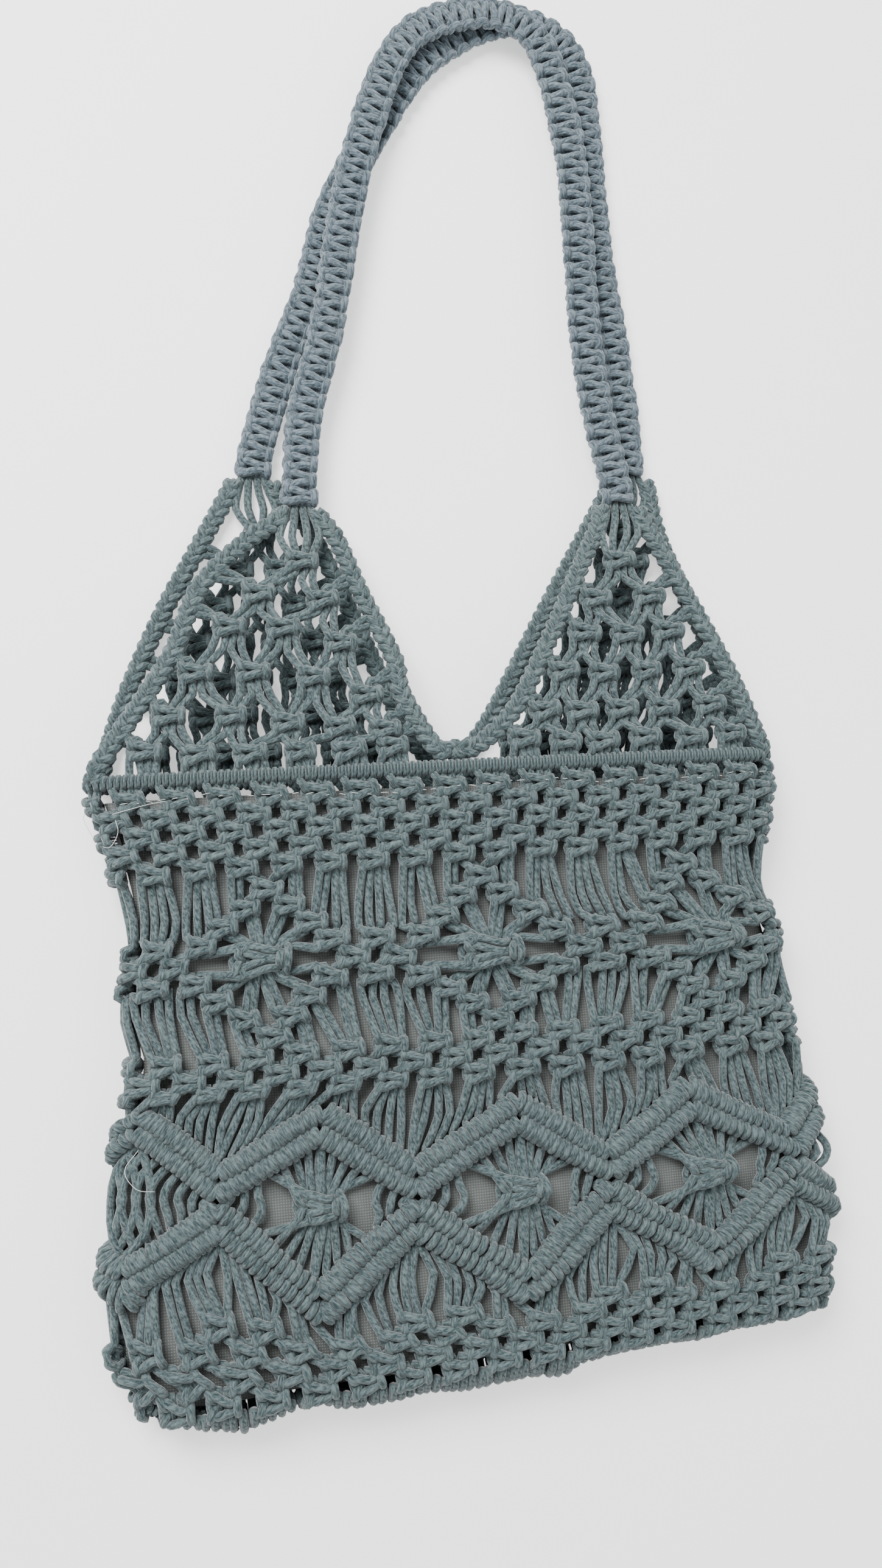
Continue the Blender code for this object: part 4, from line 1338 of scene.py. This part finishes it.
def lining_pouch():
    """The pouch, as one closed surface."""
    across = np.arange(0, 2 * COLUMNS, 1.0)
    count, rows = len(across), LINING_ROWS
    verts, faces = [], []
    for wall, depth in enumerate((LINING_DEPTH, LINING_DEPTH - LINING_WALL)):
        for y in np.linspace(LINING_TOP, LINING_BOTTOM, rows):
            puff = 0.35 * np.sin(across * 0.8 + y * 0.11) + 0.25 * np.sin(across * 0.37 - y * 0.07)
            verts.append(skin(np.stack([across * COLUMN, np.full_like(across, y), depth + puff], axis=1)))
        starts = [(wall * rows + row) * count for row in range(rows)]
        quads = [(low + i, low + (i + 1) % count, high + (i + 1) % count, high + i)
                 for low, high in zip(starts, starts[1:]) for i in range(count)]
        last = starts[-1]
        quads += [(last + i, last + i + 1, last + count - 2 - i, last + count - 1 - i)
                  for i in range(count // 2 - 1)]
        faces += quads if wall else [quad[::-1] for quad in quads]
    faces += [(i, (i + 1) % count, count * rows + (i + 1) % count, count * rows + i) for i in range(count)]
    cloth = mesh_object("lining_cloth", np.vstack(verts), faces, LINING_WEAVE_PAINTED_SHADE)
    cloth.data.shade_smooth()
    return cloth


lining = lining_pouch()
dress(lining, "lining_cloth", "lining_pouch")
print("lining faces:", len(lining.data.polygons))

# %% [markdown]
# The lining is sewn in with light thread. Its running stitch shows as small dashes just under the
# mouth's roll, and a few loose ends stand out at the left side.

# %% Running stitch and loose threads
THREAD_RADIUS = 0.13
STITCH_LIFT = 4.6
STITCH_ENDS = (-150.0, 160.0)
STITCH_LENGTH = (2.2, 4.4)
STITCH_GAP = (1.6, 4.0)
STITCH_LEVEL = -5.8
STITCH_WAVE = 1.2
LOOSE_ENDS = (
    # x, y and how far it stands out over the knots
    ((-159, -6, 3), (-166, -9, 6), (-168, -16, 6), (-163, -22, 4)),
    ((-156, -11, 4), (-146, -9, 6), (-137, -7, 5.6), (-130, -6, 5)),
    ((-152, -12, 4), (-150, -19, 7), (-153, -25, 6), (-157, -23, 4)),
    ((-149, -158, 4), (-154, -166, 7), (-150, -174, 7), (-143, -176, 4)),
)

thread_white, _ = plain_material("sewing_thread", (0.62, 0.64, 0.62), 0.6)
stitches = Skein()
stitch_x, last_x = STITCH_ENDS
while stitch_x < last_x:
    length = chance.uniform(*STITCH_LENGTH)
    y = STITCH_LEVEL + STITCH_WAVE * math.sin(stitch_x * 0.045) + chance.normal(0, 0.4)
    start, end = (column_at(x, y) * COLUMN for x in (stitch_x, stitch_x + length))
    rise = chance.normal(0, 0.5)
    route = [(start + share * (end - start), y + share * rise, STITCH_LIFT - dip)
             for share, dip in ((0.0, 1.6), (0.2, 0.0), (0.8, 0.0), (1.0, 1.6))]
    stitches.sweep(skin(route), THREAD_RADIUS, 2, 5)
    stitch_x += length + chance.uniform(*STITCH_GAP)
for route in LOOSE_ENDS:
    on_skin = [(column_at(x, y) * COLUMN, y / slant_at(x), lift) for x, y, lift in route]
    stitches.sweep(skin(on_skin), THREAD_RADIUS, 4, 5)
dress(stitches.piece("running_stitch", thread_white), "lining_cloth")

# %% [markdown]
# A short piece of the zip shows through a gap in the knots at the left end: black tape with a row of
# small pale teeth. The rest of the zip can't be seen, so only this piece is made.

# %% The piece of zip that shows
ZIP_SPOT = (-154.0, -21.0)
TAPE_SIZE = (6.0, 11.0, 0.8)
TOOTH_SIZE = (1.1, 0.6, 0.8)
TOOTH_PITCH = 1.4
TOOTH_SIDES = (-0.7, 0.7)


def blocks_piece(name, centres, size, material):
    """One object of small boxes, placed on the skin by across, y and lift."""
    offsets = np.array([(i, j, k) for i in (-0.5, 0.5) for j in (-0.5, 0.5) for k in (-0.5, 0.5)]) * size
    sides = [(0, 1, 3, 2), (4, 6, 7, 5), (0, 4, 5, 1), (2, 3, 7, 6), (0, 2, 6, 4), (1, 5, 7, 3)]
    verts = np.vstack([skin(np.array(centre) + offsets) for centre in centres])
    faces = [tuple(8 * box + i for i in side) for box in range(len(centres)) for side in sides]
    dress(mesh_object(name, verts, faces, material), "lining_cloth")


zip_across, zip_y = column_at(*ZIP_SPOT) * COLUMN, ZIP_SPOT[1]
tape_black, _ = plain_material("zip_tape", (0.008, 0.008, 0.010), 0.8)
teeth_pale, _ = plain_material("zip_teeth", (0.35, 0.36, 0.38), 0.4)
teeth = [(zip_across + side, zip_y + TOOTH_PITCH * k, -0.3) for side in TOOTH_SIDES for k in range(-3, 4)]
blocks_piece("zip_tape", [(zip_across, zip_y, -1.0)], TAPE_SIZE, tape_black)
blocks_piece("zip_teeth", teeth, TOOTH_SIZE, teeth_pale)
print("zip teeth:", len(teeth))
